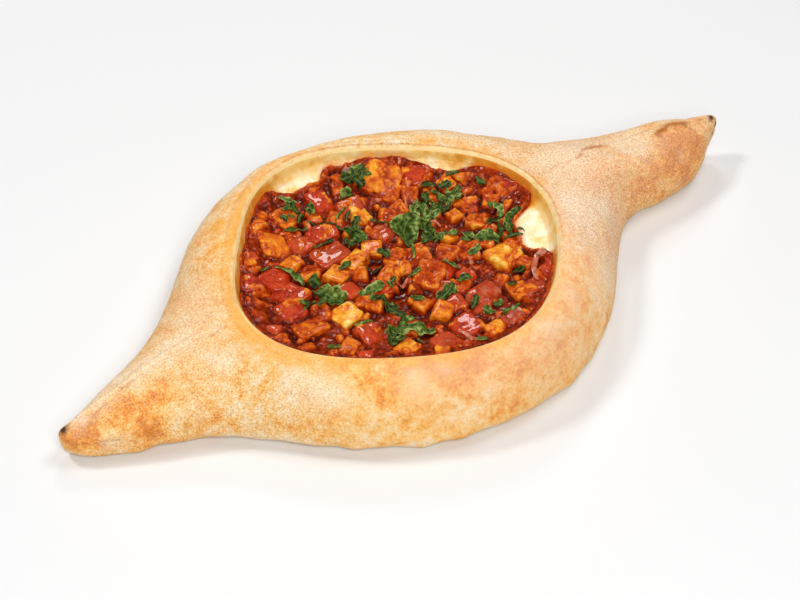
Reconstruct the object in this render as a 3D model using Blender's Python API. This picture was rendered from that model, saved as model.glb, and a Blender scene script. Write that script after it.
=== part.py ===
"""Boat-shaped khachapuri: a pinched dough boat, melted cheese lining it, and a chunky chicken
and tomato stew with chopped parsley. Lengths are in millimetres and become metres in the meshes.
Plan coordinates: +X towards the right horn, +Y away from the front rim."""

import math
from random import Random

import bmesh
import bpy
import numpy as np
from mathutils import Matrix, Vector
from mathutils.bvhtree import BVHTree

MM = 0.001
UP = Vector((0, 0, 1))

# Widest line of the boat in plan, counter-clockwise from the right tip: the back of the right
# horn, the back rim, both sides of the left horn, the front rim, the front of the right horn.
OUTLINE = (
    (166.5, 3), (158, 8), (146, 13.5), (130, 17.5), (112, 21), (96, 26.5),
    (78, 43), (51, 67), (9, 80.5), (-37, 78.5), (-71, 61.5), (-94, 38),
    (-111, 22.5), (-132, 12), (-150, 4), (-161, 0.5), (-166, -4), (-162, -10.5),
    (-152, -16), (-134, -23.5), (-114, -31), (-94, -46.5),
    (-66, -71), (-25, -88), (22, -85.5), (58.5, -63.5), (81, -39),
    (101, -20.5), (124, -16.5), (143, -14), (155.5, -6.5), (163, -1.5),
)
RAYS_PER_STATION = 3
RIGHT_TIP_STATION = 0
LEFT_TIP_STATION = 16

# Opening: a squarish circle, as harmonics (cosine, sine) of its mean radius
OPENING_CENTRE = (-10.5, -3)
OPENING_RADIUS = 69.6
OPENING_WAVES = ((0.8, -1.9), (1.2, 0.3), (-0.15, -1.2), (2.1, 1.7))

# Heights above the board
RIM_HEIGHT = 35
CREST_STATIONS = (-168, -150, -130, -105, -82, 62, 95, 115, 140, 160, 170)
CREST_HEIGHTS = (14, 21, 26, 31, RIM_HEIGHT, RIM_HEIGHT, 34, 31.5, 29.5, 27, 24)
WIDEST_HEIGHT = 10
# Along a horn, from one distance to another: rise of its widest line and of its underside
RIGHT_WIDEST_RISE = (95, 165, 7)
LEFT_WIDEST_RISE = (95, 160, 1.5)
RIGHT_CURL = (120, 172, 7)
LEFT_CURL = (130, 170, 1.5)

# How far the underside tucks in below the widest line: (along the boat, at a tip, from, to)
TUCK = (9, 3.5, 110, 168)
TUCK_RINGS = 3
# Rolled bead of dough round the opening and the crease outside it: (distance out, relief)
LIP_RINGS = ((2.2, 0.3), (4.9, -0.7), (6.8, 0.1))
SHOULDER_RINGS = 7
SHOULDER_START = 2
# The shoulder's squareness, from the rim to the horns, by the rim's width and how it faces out
SHOULDER_POWERS = (2, 5)
HORN_WIDTHS = (60, 100)
HORN_FACING = (0.3, 0.9)
BEARING_SKEW = 0.1
FOOT_RADIUS = 55
SEAM_DEPTH = 1.4
LUMP_HEIGHT = 0.7

# Inner wall of the dough, from the lip down: (distance in from the lip, height)
WALL = ((1.1, 34.2), (2.0, 32), (2.6, 29), (3.6, 24), (6, 16), (11, 10), (20, 8.3))

# Melted cheese: a dish on that wall; its inner side as (distance in from the lip, height)
CHEESE_WALL = ((3.05, 29), (4.05, 24), (6.45, 16), (11.45, 10.5), (20.4, 8.8))
CHEESE_INSIDE = ((4.8, 28.6), (5.6, 26.3), (6.6, 22), (9.4, 16.5), (14.5, 14.2), (46, 13.6))
# Pools where the stew leaves the cheese bare: (direction in degrees, half span, width)
CHEESE_POOLS = ((-17, 17, 11), (37, 14, 2.5), (95, 15, 6))
POOL_CORE = 0.4
# Insets over which a pool sets in, and over which it fades under the stew
POOL_START = (4.5, 5.5)
POOL_END = (10, 30)
DISH_RAYS = 60

# Stew: bare core between the dish and its own surface, then the pieces in it
STEW_SIDE = ((46, 14.1), (15, 14.8), (10, 17), (7.2, 22.2), (6.3, 25), (5.75, 27))
STEW_SURFACE = ((11, 26), (30, 25), (50, 24.6))
STEW_SWELL = 0.7
SWELL_SCALE = 1.6
STEW_TOP = 27.4
TOP_SQUASH = 0.3
PIECE_SPREAD = 0.1
PIECE_INSET = 0.45
# The core's edge draws back unevenly between the pieces: by up to this, above this height
EDGE_DRAW = 1.8
EDGE_DRAW_FROM = 22

# Pieces that stand out, dices of chicken and softer tomato: (x, y, length, width, turn in degrees)
CHICKEN = (
    (31, -26, 15, 14, 20), (-43, -21, 12, 11, 10), (-6, 28, 7, 12, -8), (-22, 5, 13, 8, 25),
    (-13, 7, 8, 8, 60), (-34, 2, 9, 9, 30), (-15, -10, 12, 8, 30), (-60, -19, 14, 11, 5),
    (-46, 31, 9, 13, -20), (-46, 43, 8, 8, 10), (-33, 43, 11, 9, 20), (-61, 26, 8, 9, 0),
    (-45, 17, 9, 8, 15), (-73, 4, 9, 9, 10), (19, 47, 10, 15, 0), (9, 44, 9, 9, 20),
    (36, 25, 7, 8, 0), (45, 26, 7, 9, 10), (11, 23, 7, 8, 0), (-54, -38, 11, 8, 30),
    (-34, -51, 9, 8, 10), (-11, -40, 10, 8, 40), (0, -60, 8, 7, 0), (22, -48, 8, 11, -10),
)
TOMATO = (
    (-29, 14, 16, 11, 10), (-25, 27, 13, 9, -10), (-36, 25, 9, 9, 0), (-56, 13, 12, 10, 20),
    (-66, 13, 9, 9, 0), (-56, 1, 13, 14, 15), (-60, -6, 12, 11, 0), (-42, -35, 10, 12, 0),
    (-20, -55, 12, 10, 10), (-15, 45, 10, 13, 0), (36, 41, 10, 11, 0), (27, 35, 12, 8, -20),
    (56, 9, 10, 13, 0), (2, -19, 12, 12, 40), (10, -41, 14, 11, 10), (40, -44, 9, 15, -40),
    (-7, -53, 11, 12, 10), (-3, -39, 8, 8, 0), (47, -25, 8, 9, 0), (9, -60, 9, 6, 15),
)
CHICKEN_ROUNDING = 0.13
TOMATO_ROUNDING = 0.24
CORNER_SHIFTS = (-0.22, 0.16)
PIECE_TILT = 0.28
PIECE_HEIGHTS = (7, 9)
PIECE_LEVELS = (23.6, 24.6)
PIECE_LEVEL = 25

# Smaller pieces between them: as blocks, no nearer than a share of both their sizes
FILLER_COUNT = 38
FILLER_SIZES = (7, 11)
FILLER_ASPECTS = (0.7, 1)
FILLER_HEIGHTS = (6, 8)
FILLER_LEVELS = (22.8, 24)
FILLER_ROOM = (0.42, 0.34)

# Chopped parsley fused to the stew
FLAKE_COUNT = 24
FLAKE_LENGTHS = (3.5, 6)
FLAKE_WIDTHS = (1.8, 3)
FLAKE_DEPTH = 1.5
FLAKE_LEAF_ROOM = 3.5
FLAKE_EDGE_ROOM = 5
STEW_SEED = 5
FLAKE_SEED = 8
LEAF_SEED = 5

# Parsley leaves as large as a berry: name, x, y, length, width, turn in degrees, ruffle height
PARSLEY = (
    ("centre", 3, 7, 19, 14, 20, 0.5),
    ("centre_side", 12.5, -3, 12, 7, 50, 0.4),
    ("heap", 22.5, 18, 24, 15, 25, 0.5),
    ("right", 42, -9, 18, 6.5, 60, 0.5),
    ("right_low", 27, -12.5, 15, 9, -50, 0.5),
    ("left", -49, -8, 21, 9, -5, 0.5),
    ("left_front", -31, -41, 16, 12, -35, 0.5),
    ("left_strand", -26.5, -25, 17, 6.5, -75, 0.6),
    ("back_left", -26, 47, 15, 8, 60, 0.6),
    ("back", 6, 51.5, 13, 9, 50, 0.6),
    ("mid_left", -14, 19.5, 12, 8, 75, 0.6),
)
LEAF_THICKNESS = 0.6
LEAF_GAP = 0.35
LEAF_POINTS = 14
LEAF_LOBE = 0.13
LEAF_TOOTH = 0.09
LEAF_UNEVEN = 0.05
LEAF_REST_RADIUS = 1.4
# Each triangle of a leaf is tried at this many steps a side, and lifted off what it dips into
LEAF_STEPS = 6
LEAF_PASSES = 4
LEAF_LIFT = 0.7

SHARP_ANGLE = math.radians(40)
# Base colour and roughness
COLOURS = {
    "dough_boat": ((0.80, 0.52, 0.27), 0.75),
    "melted_cheese": ((0.86, 0.66, 0.36), 0.45),
    "stew_filling": ((0.50, 0.06, 0.012), 0.30),
    "parsley": ((0.06, 0.14, 0.025), 0.50),
}


def smooth(start, end, value):
    """0 before start, 1 after end, with a soft passage between them."""
    t = np.clip((np.asarray(value, float) - start) / (end - start), 0, 1)
    return t * t * (3 - 2 * t)


def closed_spline(stations, per_station):
    """Points of a closed cubic spline through the stations."""
    points = np.asarray(stations, float)
    count = len(points)
    matrix = 4 * np.eye(count) + np.roll(np.eye(count), 1, 0) + np.roll(np.eye(count), -1, 0)
    control = np.linalg.solve(matrix / 6, points)
    step = np.arange(count * per_station) / per_station
    index = step.astype(int)
    u = (step - index)[:, None]
    weights = (
        (1 - u) ** 3 / 6,
        (3 * u**3 - 6 * u**2 + 4) / 6,
        (-3 * u**3 + 3 * u**2 + 3 * u + 1) / 6,
        u**3 / 6,
    )
    return sum(w * control[(index + k - 1) % count] for k, w in enumerate(weights))


OUTER_LINE = closed_spline(OUTLINE, RAYS_PER_STATION)
BOX_CENTRE = (OUTER_LINE.min(axis=0) + OUTER_LINE.max(axis=0)) / 2
CENTRE = np.array(OPENING_CENTRE, float)


def opening_radius(angle):
    radius = np.full_like(angle, OPENING_RADIUS)
    for order, (cosine, sine) in enumerate(OPENING_WAVES, start=1):
        radius += cosine * np.cos(order * angle) + sine * np.sin(order * angle)
    return radius


def from_lip(angle, inset):
    """Plan points that far in from the lip, towards the middle of the opening."""
    radius = opening_radius(angle) - inset
    return CENTRE + np.stack([radius * np.cos(angle), radius * np.sin(angle)], axis=1)


def with_height(plan, height):
    return np.column_stack([plan, np.broadcast_to(height, (len(plan),))])


def crest(x):
    return np.interp(x, CREST_STATIONS, CREST_HEIGHTS)


def risen(distance, span):
    start, end, height = span
    return height * smooth(start, end, distance)


def lifted(x):
    """Height of the underside: the horns curl up off the board towards their tips."""
    return risen(x, RIGHT_CURL) + risen(-x, LEFT_CURL)


def lumps(plan):
    x, y = plan[:, 0], plan[:, 1]
    return np.sin(x / 11 + 1.3 * np.sin(y / 17)) * np.sin(y / 13 + 0.6 + np.cos(x / 19))


def dough_rings():
    """Rings of the boat from the middle of its floor, up the wall, over the rim and underneath."""
    outer = OUTER_LINE
    along = np.roll(outer, -1, axis=0) - np.roll(outer, 1, axis=0)
    normal = np.stack([along[:, 1], -along[:, 0]], axis=1)
    normal /= np.linalg.norm(normal, axis=1)[:, None]
    spoke = outer - CENTRE
    bearing = np.arctan2(spoke[:, 1], spoke[:, 0])
    angle = bearing + BEARING_SKEW * np.sin(2 * bearing)
    lip = from_lip(angle, 0)
    reach = outer - lip
    width = np.linalg.norm(reach, axis=1)
    facing = np.abs((reach * normal).sum(axis=1)) / width
    low, high = SHOULDER_POWERS
    power = low + (high - low) * smooth(*HORN_WIDTHS, width) * smooth(*HORN_FACING, facing)
    widest = WIDEST_HEIGHT + risen(outer[:, 0], RIGHT_WIDEST_RISE)
    widest += risen(-outer[:, 0], LEFT_WIDEST_RISE)

    seam = np.zeros(len(outer))
    seam[[RIGHT_TIP_STATION * RAYS_PER_STATION, LEFT_TIP_STATION * RAYS_PER_STATION]] = SEAM_DEPTH

    rings = [with_height(from_lip(angle, inset), height) for inset, height in reversed(WALL)]
    shares = [(np.zeros_like(width), 0)]
    shares += [(distance / width, relief) for distance, relief in LIP_RINGS]
    for step in range(SHOULDER_START, SHOULDER_RINGS + 1):
        turn = step / SHOULDER_RINGS * math.pi / 2
        shares.append((np.full_like(width, math.sin(turn)), 0))
    for share, relief in shares:
        plan = lip + reach * share[:, None]
        drop = (1 - share**power) ** (1 / power)
        height = widest + (crest(plan[:, 0]) - widest) * drop
        softer = np.sin(math.pi * share) * (LUMP_HEIGHT * lumps(plan) - seam)
        rings.append(with_height(plan, height + softer + relief))

    under = lifted(outer[:, 0])
    deep, shallow, start, end = TUCK
    tuck = deep + (shallow - deep) * smooth(start, end, np.abs(outer[:, 0]))
    for step in range(1, TUCK_RINGS + 1):
        turn = step / TUCK_RINGS * math.pi / 2
        plan = outer - normal * (tuck * (1 - math.cos(turn)))[:, None]
        rings.append(with_height(plan, under + (widest - under) * (1 - math.sin(turn))))
    edge = rings[-1][:, :2]
    foot = CENTRE + FOOT_RADIUS * np.stack([np.cos(bearing), np.sin(bearing)], axis=1)
    for share in (0.4, 1):
        plan = edge + (foot - edge) * share
        rings.append(with_height(plan, lifted(plan[:, 0])))
    return rings


def evenly(count):
    return np.arange(count) * 2 * math.pi / count


def pool_width(angle):
    """How far the cheese shows in front of the wall."""
    width = np.zeros_like(angle)
    for direction, span, size in CHEESE_POOLS:
        off = np.degrees(np.angle(np.exp(1j * (angle - math.radians(direction)))))
        width += size * (1 - smooth(POOL_CORE * span, span, np.abs(off)))
    return width


def pooling(inset):
    """The pools' share of a ring's inset, none at the wall's top or in the middle."""
    return float(smooth(*POOL_START, inset) * (1 - smooth(*POOL_END, inset)))


def pooled_rings(profile):
    """Rings inside the boat that step back from the wall where the cheese shows."""
    angle = evenly(DISH_RAYS)
    pools = pool_width(angle)
    return [with_height(from_lip(angle, inset + pools * pooling(inset)), height)
            for inset, height in profile]


def cheese_rings():
    angle = evenly(DISH_RAYS)
    outside = [with_height(from_lip(angle, inset), height) for inset, height in reversed(CHEESE_WALL)]
    return outside + pooled_rings(CHEESE_INSIDE)


def stew_rings():
    rings = pooled_rings(STEW_SIDE + STEW_SURFACE)
    rng = Random(STEW_SEED)
    draw = np.array([rng.uniform(0, EDGE_DRAW) for _ in range(DISH_RAYS)])
    for ring in rings:
        if ring[0, 2] > EDGE_DRAW_FROM:
            inward = CENTRE - ring[:, :2]
            ring[:, :2] += inward * (draw / np.linalg.norm(inward, axis=1))[:, None]
    for ring in rings[len(STEW_SIDE):]:
        ring[:, 2] += STEW_SWELL * lumps(ring[:, :2] * SWELL_SCALE)
    return rings


def stew_limit(angle, height):
    """Farthest radius that a piece of the stew may reach at that height."""
    insets, levels = zip(*STEW_SIDE)
    inset = float(np.interp(height, levels, insets)) + PIECE_INSET
    bearing = angle + np.array((-PIECE_SPREAD, 0, PIECE_SPREAD))
    reach = opening_radius(bearing) - inset - pool_width(bearing) * pooling(inset)
    return float(reach.min())


def loft(rings, first, last):
    """A closed mesh through the rings, with a pole at either end."""
    mesh = bmesh.new()
    count = len(rings[0])
    rows = [[mesh.verts.new(point) for point in ring] for ring in rings]
    poles = (mesh.verts.new((*CENTRE, first)), mesh.verts.new((*CENTRE, last)))
    for j in range(count):
        k = (j + 1) % count
        mesh.faces.new((poles[0], rows[0][k], rows[0][j]))
        mesh.faces.new((poles[1], rows[-1][j], rows[-1][k]))
        for low, high in zip(rows, rows[1:]):
            mesh.faces.new((low[j], low[k], high[k], high[j]))
    bmesh.ops.recalc_face_normals(mesh, faces=mesh.faces)
    return mesh


def chunk(rng, size, place, turn, rounding):
    """A hand-cut piece: a bevelled block with uneven corners, kept inside the dish."""
    mesh = bmesh.new()
    bmesh.ops.create_cube(mesh, size=1)
    for vert in mesh.verts:
        vert.co = Vector([c * (1 + rng.uniform(*CORNER_SHIFTS)) for c in vert.co])
    if rounding:
        bmesh.ops.bevel(
            mesh, geom=mesh.edges[:], offset=rounding, segments=1, profile=0.5, affect="EDGES"
        )
    roll = Matrix.Rotation(rng.uniform(-PIECE_TILT, PIECE_TILT), 4, "X")
    pitch = Matrix.Rotation(rng.uniform(-PIECE_TILT, PIECE_TILT), 4, "Y")
    lie = Matrix.Rotation(math.radians(turn), 4, "Z") @ roll @ pitch
    for vert in mesh.verts:
        point = lie @ Vector([c * s for c, s in zip(vert.co, size)]) + Vector(place)
        vert.co = keep_in_dish(point)
    return mesh


def keep_in_dish(point):
    """Pulls a point of a piece in from the wall and down to the top of the stew."""
    x, y = point.x - CENTRE[0], point.y - CENTRE[1]
    height = STEW_TOP + TOP_SQUASH * (point.z - STEW_TOP) if point.z > STEW_TOP else point.z
    pull = min(1, stew_limit(math.atan2(y, x), height) / math.hypot(x, y))
    return Vector((CENTRE[0] + x * pull, CENTRE[1] + y * pull, height))


def filler_places(rng):
    """Places for the smaller pieces, spread between the ones that stand out."""
    taken = [(x, y, (length + width) / 2) for x, y, length, width, _ in CHICKEN + TOMATO]
    found = []
    while len(found) < FILLER_COUNT:
        angle = rng.uniform(-math.pi, math.pi)
        size = rng.uniform(*FILLER_SIZES)
        radius = math.sqrt(rng.random()) * (stew_limit(angle, PIECE_LEVEL) - size / 2)
        x = CENTRE[0] + radius * math.cos(angle)
        y = CENTRE[1] + radius * math.sin(angle)
        room = FILLER_ROOM[len(found) >= FILLER_COUNT // 2]
        if all(math.hypot(x - a, y - b) > room * (size + s) for a, b, s in taken):
            taken.append((x, y, size))
            found.append((x, y, size))
    return found


def stew_pieces():
    rng = Random(STEW_SEED)
    pieces = []
    for kinds, rounding in ((CHICKEN, CHICKEN_ROUNDING), (TOMATO, TOMATO_ROUNDING)):
        for x, y, length, width, turn in kinds:
            size = (length, width, rng.uniform(*PIECE_HEIGHTS))
            place = (x, y, rng.uniform(*PIECE_LEVELS))
            pieces.append(chunk(rng, size, place, turn, rounding))
    for x, y, size in filler_places(rng):
        block = (size, size * rng.uniform(*FILLER_ASPECTS), rng.uniform(*FILLER_HEIGHTS))
        place = (x, y, rng.uniform(*FILLER_LEVELS))
        pieces.append(chunk(rng, block, place, rng.uniform(0, 90), 0))
    return pieces


def surface_of(meshes):
    """A tree of all the meshes' faces, to find what lies on top."""
    points = []
    faces = []
    for mesh in meshes:
        mesh.verts.index_update()
        start = len(points)
        points += [vert.co.copy() for vert in mesh.verts]
        faces += [[start + vert.index for vert in face.verts] for face in mesh.faces]
    return BVHTree.FromPolygons(points, faces)


def top_at(tree, x, y):
    """Where a fall straight down lands, and the normal there."""
    hit, normal, _, _ = tree.ray_cast(Vector((x, y, 2 * RIM_HEIGHT)), -UP)
    return (hit, normal) if hit else (Vector((x, y, STEW_SURFACE[-1][1])), UP)


def near_leaf(x, y):
    for _, leaf_x, leaf_y, length, width, turn, _ in PARSLEY:
        off = complex(x - leaf_x, y - leaf_y) * np.exp(-1j * math.radians(turn))
        along = abs(off.real) < length / 2 + FLAKE_LEAF_ROOM
        if along and abs(off.imag) < width / 2 + FLAKE_LEAF_ROOM:
            return True
    return False


def flakes(tree):
    """Chopped parsley too small to be leaves of their own, half sunk in the stew."""
    rng = Random(FLAKE_SEED)
    pieces = []
    while len(pieces) < FLAKE_COUNT:
        angle = rng.uniform(-math.pi, math.pi)
        radius = math.sqrt(rng.random()) * (stew_limit(angle, PIECE_LEVEL) - FLAKE_EDGE_ROOM)
        x = CENTRE[0] + radius * math.cos(angle)
        y = CENTRE[1] + radius * math.sin(angle)
        size = (rng.uniform(*FLAKE_LENGTHS), rng.uniform(*FLAKE_WIDTHS), FLAKE_DEPTH)
        turn = Matrix.Rotation(rng.uniform(0, math.pi), 3, "Z")
        if near_leaf(x, y):
            continue
        point, normal = top_at(tree, x, y)
        lie = UP.rotation_difference(normal.lerp(UP, 0.4)).to_matrix() @ turn
        mesh = bmesh.new()
        bmesh.ops.create_cube(mesh, size=1)
        for vert in mesh.verts:
            narrow = 0.55 if vert.co.x > 0 else 1
            local = Vector([c * s for c, s in zip(vert.co, size)])
            local.y *= narrow
            vert.co = keep_in_dish(point + lie @ local)
        pieces.append(mesh)
    return pieces


def leaf_outline(length, width, rng):
    """A parsley leaf in plan: an oval with three lobes and toothed edges."""
    points = []
    for j, angle in enumerate(evenly(LEAF_POINTS)):
        tooth = LEAF_TOOTH if j % 2 else -LEAF_TOOTH
        uneven = rng.uniform(-LEAF_UNEVEN, LEAF_UNEVEN)
        reach = (1 + LEAF_LOBE * math.cos(3 * angle) + tooth + uneven) / 2
        points.append(complex(reach * length * math.cos(angle), reach * width * math.sin(angle)))
    return points


def leaf(tree, x, y, length, width, turn, ruffle, rng):
    """A thin wavy solid that lies on the stew; both its faces have the same triangles."""
    spin = np.exp(1j * math.radians(turn))
    plan = [0j]
    for share in (0.5, 1):
        plan += [share * point * spin for point in leaf_outline(length, width, rng)]
    spots = [Vector((x + p.real, y + p.imag, PIECE_LEVEL)) for p in plan]
    shift = max((keep_in_dish(spot) - spot for spot in spots), key=lambda pull: pull.length)
    plan = [(spot + shift)[:2] for spot in spots]
    wave = rng.uniform(0, 2 * math.pi)
    heights = []
    for j, (a, b) in enumerate(plan):
        around = [(a + LEAF_REST_RADIUS * math.cos(t), b + LEAF_REST_RADIUS * math.sin(t))
                  for t in evenly(6)]
        rest = max(top_at(tree, *spot)[0].z for spot in around + [(a, b)])
        curl = ruffle * (0.5 + 0.5 * math.sin(wave + j * 2.4)) if j > LEAF_POINTS else 0
        heights.append(rest + LEAF_GAP + curl)
    count = LEAF_POINTS
    faces = []
    for j in range(count):
        k = (j + 1) % count
        faces.append((0, 1 + j, 1 + k))
        faces.append((1 + j, 1 + count + j, 1 + count + k))
        faces.append((1 + j, 1 + count + k, 1 + k))
    clear_of_stew(tree, plan, heights, faces)
    return leaf_mesh(plan, heights, faces)


def clear_of_stew(tree, plan, heights, faces):
    """Raises the corners of each triangle that would dip into the stew between them."""
    steps = range(LEAF_STEPS + 1)
    shares = [np.array((a, b, LEAF_STEPS - a - b)) / LEAF_STEPS
              for a in steps for b in steps if a + b <= LEAF_STEPS]
    for _ in range(LEAF_PASSES):
        for face in faces:
            for share in shares:
                spot = [sum(s * plan[v][axis] for s, v in zip(share, face)) for axis in (0, 1)]
                height = sum(s * heights[v] for s, v in zip(share, face))
                lack = top_at(tree, *spot)[0].z + LEAF_GAP - height
                if lack > 0:
                    for corner in face:
                        heights[corner] += lack * LEAF_LIFT


def leaf_mesh(plan, heights, faces):
    mesh = bmesh.new()
    under = [mesh.verts.new((x, y, z)) for (x, y), z in zip(plan, heights)]
    over = [mesh.verts.new((x, y, z + LEAF_THICKNESS)) for (x, y), z in zip(plan, heights)]
    for a, b, c in faces:
        mesh.faces.new((over[a], over[b], over[c]))
        mesh.faces.new((under[c], under[b], under[a]))
    count = LEAF_POINTS
    for j in range(count):
        a = 1 + count + j
        b = 1 + count + (j + 1) % count
        mesh.faces.new((under[a], under[b], over[b]))
        mesh.faces.new((under[a], over[b], over[a]))
    return mesh


def in_frame(mesh):
    """Turns a mesh in millimetres of the plan into metres about the boat's middle."""
    shift = Vector((*BOX_CENTRE, 0))
    for vert in mesh.verts:
        vert.co = (vert.co - shift) * MM
    return mesh


def in_plan(obj):
    """An object's mesh in millimetres of the plan."""
    mesh = bmesh.new()
    mesh.from_mesh(obj.data)
    shift = Vector((*BOX_CENTRE, 0))
    for vert in mesh.verts:
        vert.co = vert.co / MM + shift
    return mesh


def material(name):
    colour, roughness = COLOURS[name]
    made = bpy.data.materials.new(name)
    made.use_nodes = True
    shader = made.node_tree.nodes["Principled BSDF"]
    shader.inputs["Base Color"].default_value = (*colour, 1)
    shader.inputs["Roughness"].default_value = roughness
    shader.inputs["Metallic"].default_value = 0
    return made


def add_object(name, mesh, collection, finish=None):
    data = bpy.data.meshes.new(name)
    in_frame(mesh).to_mesh(data)
    mesh.free()
    made = bpy.data.objects.new(name, data)
    collection.objects.link(made)
    if finish:
        data.materials.append(finish)
        data.shade_smooth()
        data.set_sharp_from_angle(angle=SHARP_ANGLE)
    return made


def join_pieces(core, pieces):
    """Fuses the pieces onto the core with one Boolean union."""
    joined = bpy.data.collections.new("pieces_to_join")
    bpy.context.scene.collection.children.link(joined)
    for number, mesh in enumerate(pieces):
        piece = add_object(f"piece_{number}", mesh, joined)
        piece.hide_render = True
        piece.display_type = "WIRE"
    union = core.modifiers.new("join", "BOOLEAN")
    union.operation = "UNION"
    union.operand_type = "COLLECTION"
    union.collection = joined
    union.solver = "MANIFOLD"
    bpy.context.view_layer.update()
    graph = bpy.context.evaluated_depsgraph_get()
    fused = bpy.data.meshes.new_from_object(core.evaluated_get(graph))
    core.modifiers.remove(union)
    old = core.data
    core.data = fused
    fused.name = core.name
    bpy.data.meshes.remove(old)
    for piece in list(joined.objects):
        data = piece.data
        bpy.data.objects.remove(piece)
        bpy.data.meshes.remove(data)
    bpy.data.collections.remove(joined)


def keep_largest_shell(obj):
    """Keeps the largest shell of faces joined edge to edge: no loose scrap, no sealed hollow."""
    mesh = bmesh.new()
    mesh.from_mesh(obj.data)
    bmesh.ops.triangulate(mesh, faces=mesh.faces)
    left = set(mesh.faces)
    shells = []
    while left:
        front = [left.pop()]
        shell = list(front)
        while front:
            for edge in front.pop().edges:
                for face in edge.link_faces if len(edge.link_faces) == 2 else ():
                    if face in left:
                        left.discard(face)
                        front.append(face)
                        shell.append(face)
        shells.append(shell)
    shells.sort(key=len)
    for shell in shells[:-1]:
        bmesh.ops.delete(mesh, geom=shell, context="FACES")
    mesh.to_mesh(obj.data)
    mesh.free()


def build():
    for obj in list(bpy.data.objects):
        bpy.data.objects.remove(obj)
    parts = bpy.data.collections.new("khachapuri")
    bpy.context.scene.collection.children.link(parts)

    boat = loft(dough_rings(), WALL[-1][1], 0)
    add_object("dough_boat", boat, parts, material("dough_boat"))
    cheese = loft(cheese_rings(), CHEESE_WALL[-1][1], CHEESE_INSIDE[-1][1])
    add_object("melted_cheese", cheese, parts, material("melted_cheese"))

    core = loft(stew_rings(), STEW_SIDE[0][1], STEW_SURFACE[-1][1])
    pieces = stew_pieces()
    pieces += flakes(surface_of([core] + pieces))
    stew = add_object("stew_filling", core, parts, material("stew_filling"))
    join_pieces(stew, pieces)
    keep_largest_shell(stew)
    stew.data.shade_smooth()
    stew.data.set_sharp_from_angle(angle=SHARP_ANGLE)

    surface = in_plan(stew)
    tree = surface_of([surface])
    surface.free()
    rng = Random(LEAF_SEED)
    green = material("parsley")
    for name, *place, ruffle in PARSLEY:
        add_object(f"parsley_leaf_{name}", leaf(tree, *place, ruffle, rng), parts, green)


build()
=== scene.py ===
"""Looks of the boat-shaped khachapuri: a hand-pulled bread crust, melted cheese inside it, and a
glossy stew of chicken and tomato under chopped parsley. Each piece is built as a fine mesh on the
same plan as its solid and stands for it. Lengths are in millimetres of the plan: +X towards the
right horn, +Y away from the front rim; put() turns them into metres of the frame."""

import itertools
import math
from random import Random

import bmesh
import bpy
import numpy as np
from mathutils import Matrix, Vector
from mathutils.bvhtree import BVHTree


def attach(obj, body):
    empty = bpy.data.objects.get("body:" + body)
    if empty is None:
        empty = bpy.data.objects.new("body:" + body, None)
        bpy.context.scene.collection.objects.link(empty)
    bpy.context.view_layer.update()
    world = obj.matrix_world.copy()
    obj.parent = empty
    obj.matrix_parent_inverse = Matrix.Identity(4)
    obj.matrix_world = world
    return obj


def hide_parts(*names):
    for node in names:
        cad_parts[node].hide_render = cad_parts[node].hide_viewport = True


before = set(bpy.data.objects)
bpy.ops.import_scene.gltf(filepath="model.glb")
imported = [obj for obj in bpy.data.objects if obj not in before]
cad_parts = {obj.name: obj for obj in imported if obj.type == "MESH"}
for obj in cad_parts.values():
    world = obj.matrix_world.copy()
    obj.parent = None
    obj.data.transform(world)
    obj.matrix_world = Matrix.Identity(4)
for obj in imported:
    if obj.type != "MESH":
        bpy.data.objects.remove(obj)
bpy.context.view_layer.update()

MM = 0.001
UP = Vector((0, 0, 1))

# ---------------------------------------------------------------- plan shared with the solids

# Widest line of the boat in plan, counter-clockwise from the right tip
OUTLINE = (
    (166.5, 3), (158, 8), (146, 13.5), (130, 17.5), (112, 21), (96, 26.5),
    (78, 43), (51, 67), (9, 80.5), (-37, 78.5), (-71, 61.5), (-94, 38),
    (-111, 22.5), (-132, 12), (-150, 4), (-161, 0.5), (-166, -4), (-162, -10.5),
    (-152, -16), (-134, -23.5), (-114, -31), (-94, -46.5),
    (-66, -71), (-25, -88), (22, -85.5), (58.5, -63.5), (81, -39),
    (101, -20.5), (124, -16.5), (143, -14), (155.5, -6.5), (163, -1.5),
)
RAYS_PER_STATION = 24
LEFT_TIP_STATION = 16

# Opening: a squarish circle, as harmonics (cosine, sine) of its mean radius
CENTRE = np.array((-10.5, -3))
OPENING_RADIUS = 69.6
OPENING_WAVES = ((0.8, -1.9), (1.2, 0.3), (-0.15, -1.2), (2.1, 1.7))

# The crest of the rim: places along x, and its height there
RIM_HEIGHT = 35
CREST_STATIONS = (-168, -150, -130, -105, -82, 62, 95, 115, 140, 160, 170)
CREST_HEIGHTS = (14, 21, 26, 31, RIM_HEIGHT, RIM_HEIGHT, 34, 31.5, 29.5, 27, 24)
# Height of the widest line; it and the underside rise towards the tips: (from, to, how far)
WIDEST_HEIGHT = 10
RIGHT_WIDEST_RISE = (95, 165, 7)
LEFT_WIDEST_RISE = (95, 160, 1.5)
RIGHT_CURL = (120, 172, 7)
LEFT_CURL = (130, 170, 1.5)
# How far the underside draws in: in the middle and at the tips, and from where to where
TUCK = (9, 3.5, 110, 168)
# The rim's roundness, and the widths and facings at which it turns into a horn's
SHOULDER_POWERS = (2, 5)
HORN_WIDTHS = (60, 100)
HORN_FACING = (0.3, 0.9)
# How far the rays from the opening lean towards the horns
BEARING_SKEW = 0.1
FOOT_RADIUS = 55
LUMP_HEIGHT = 0.7

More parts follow.
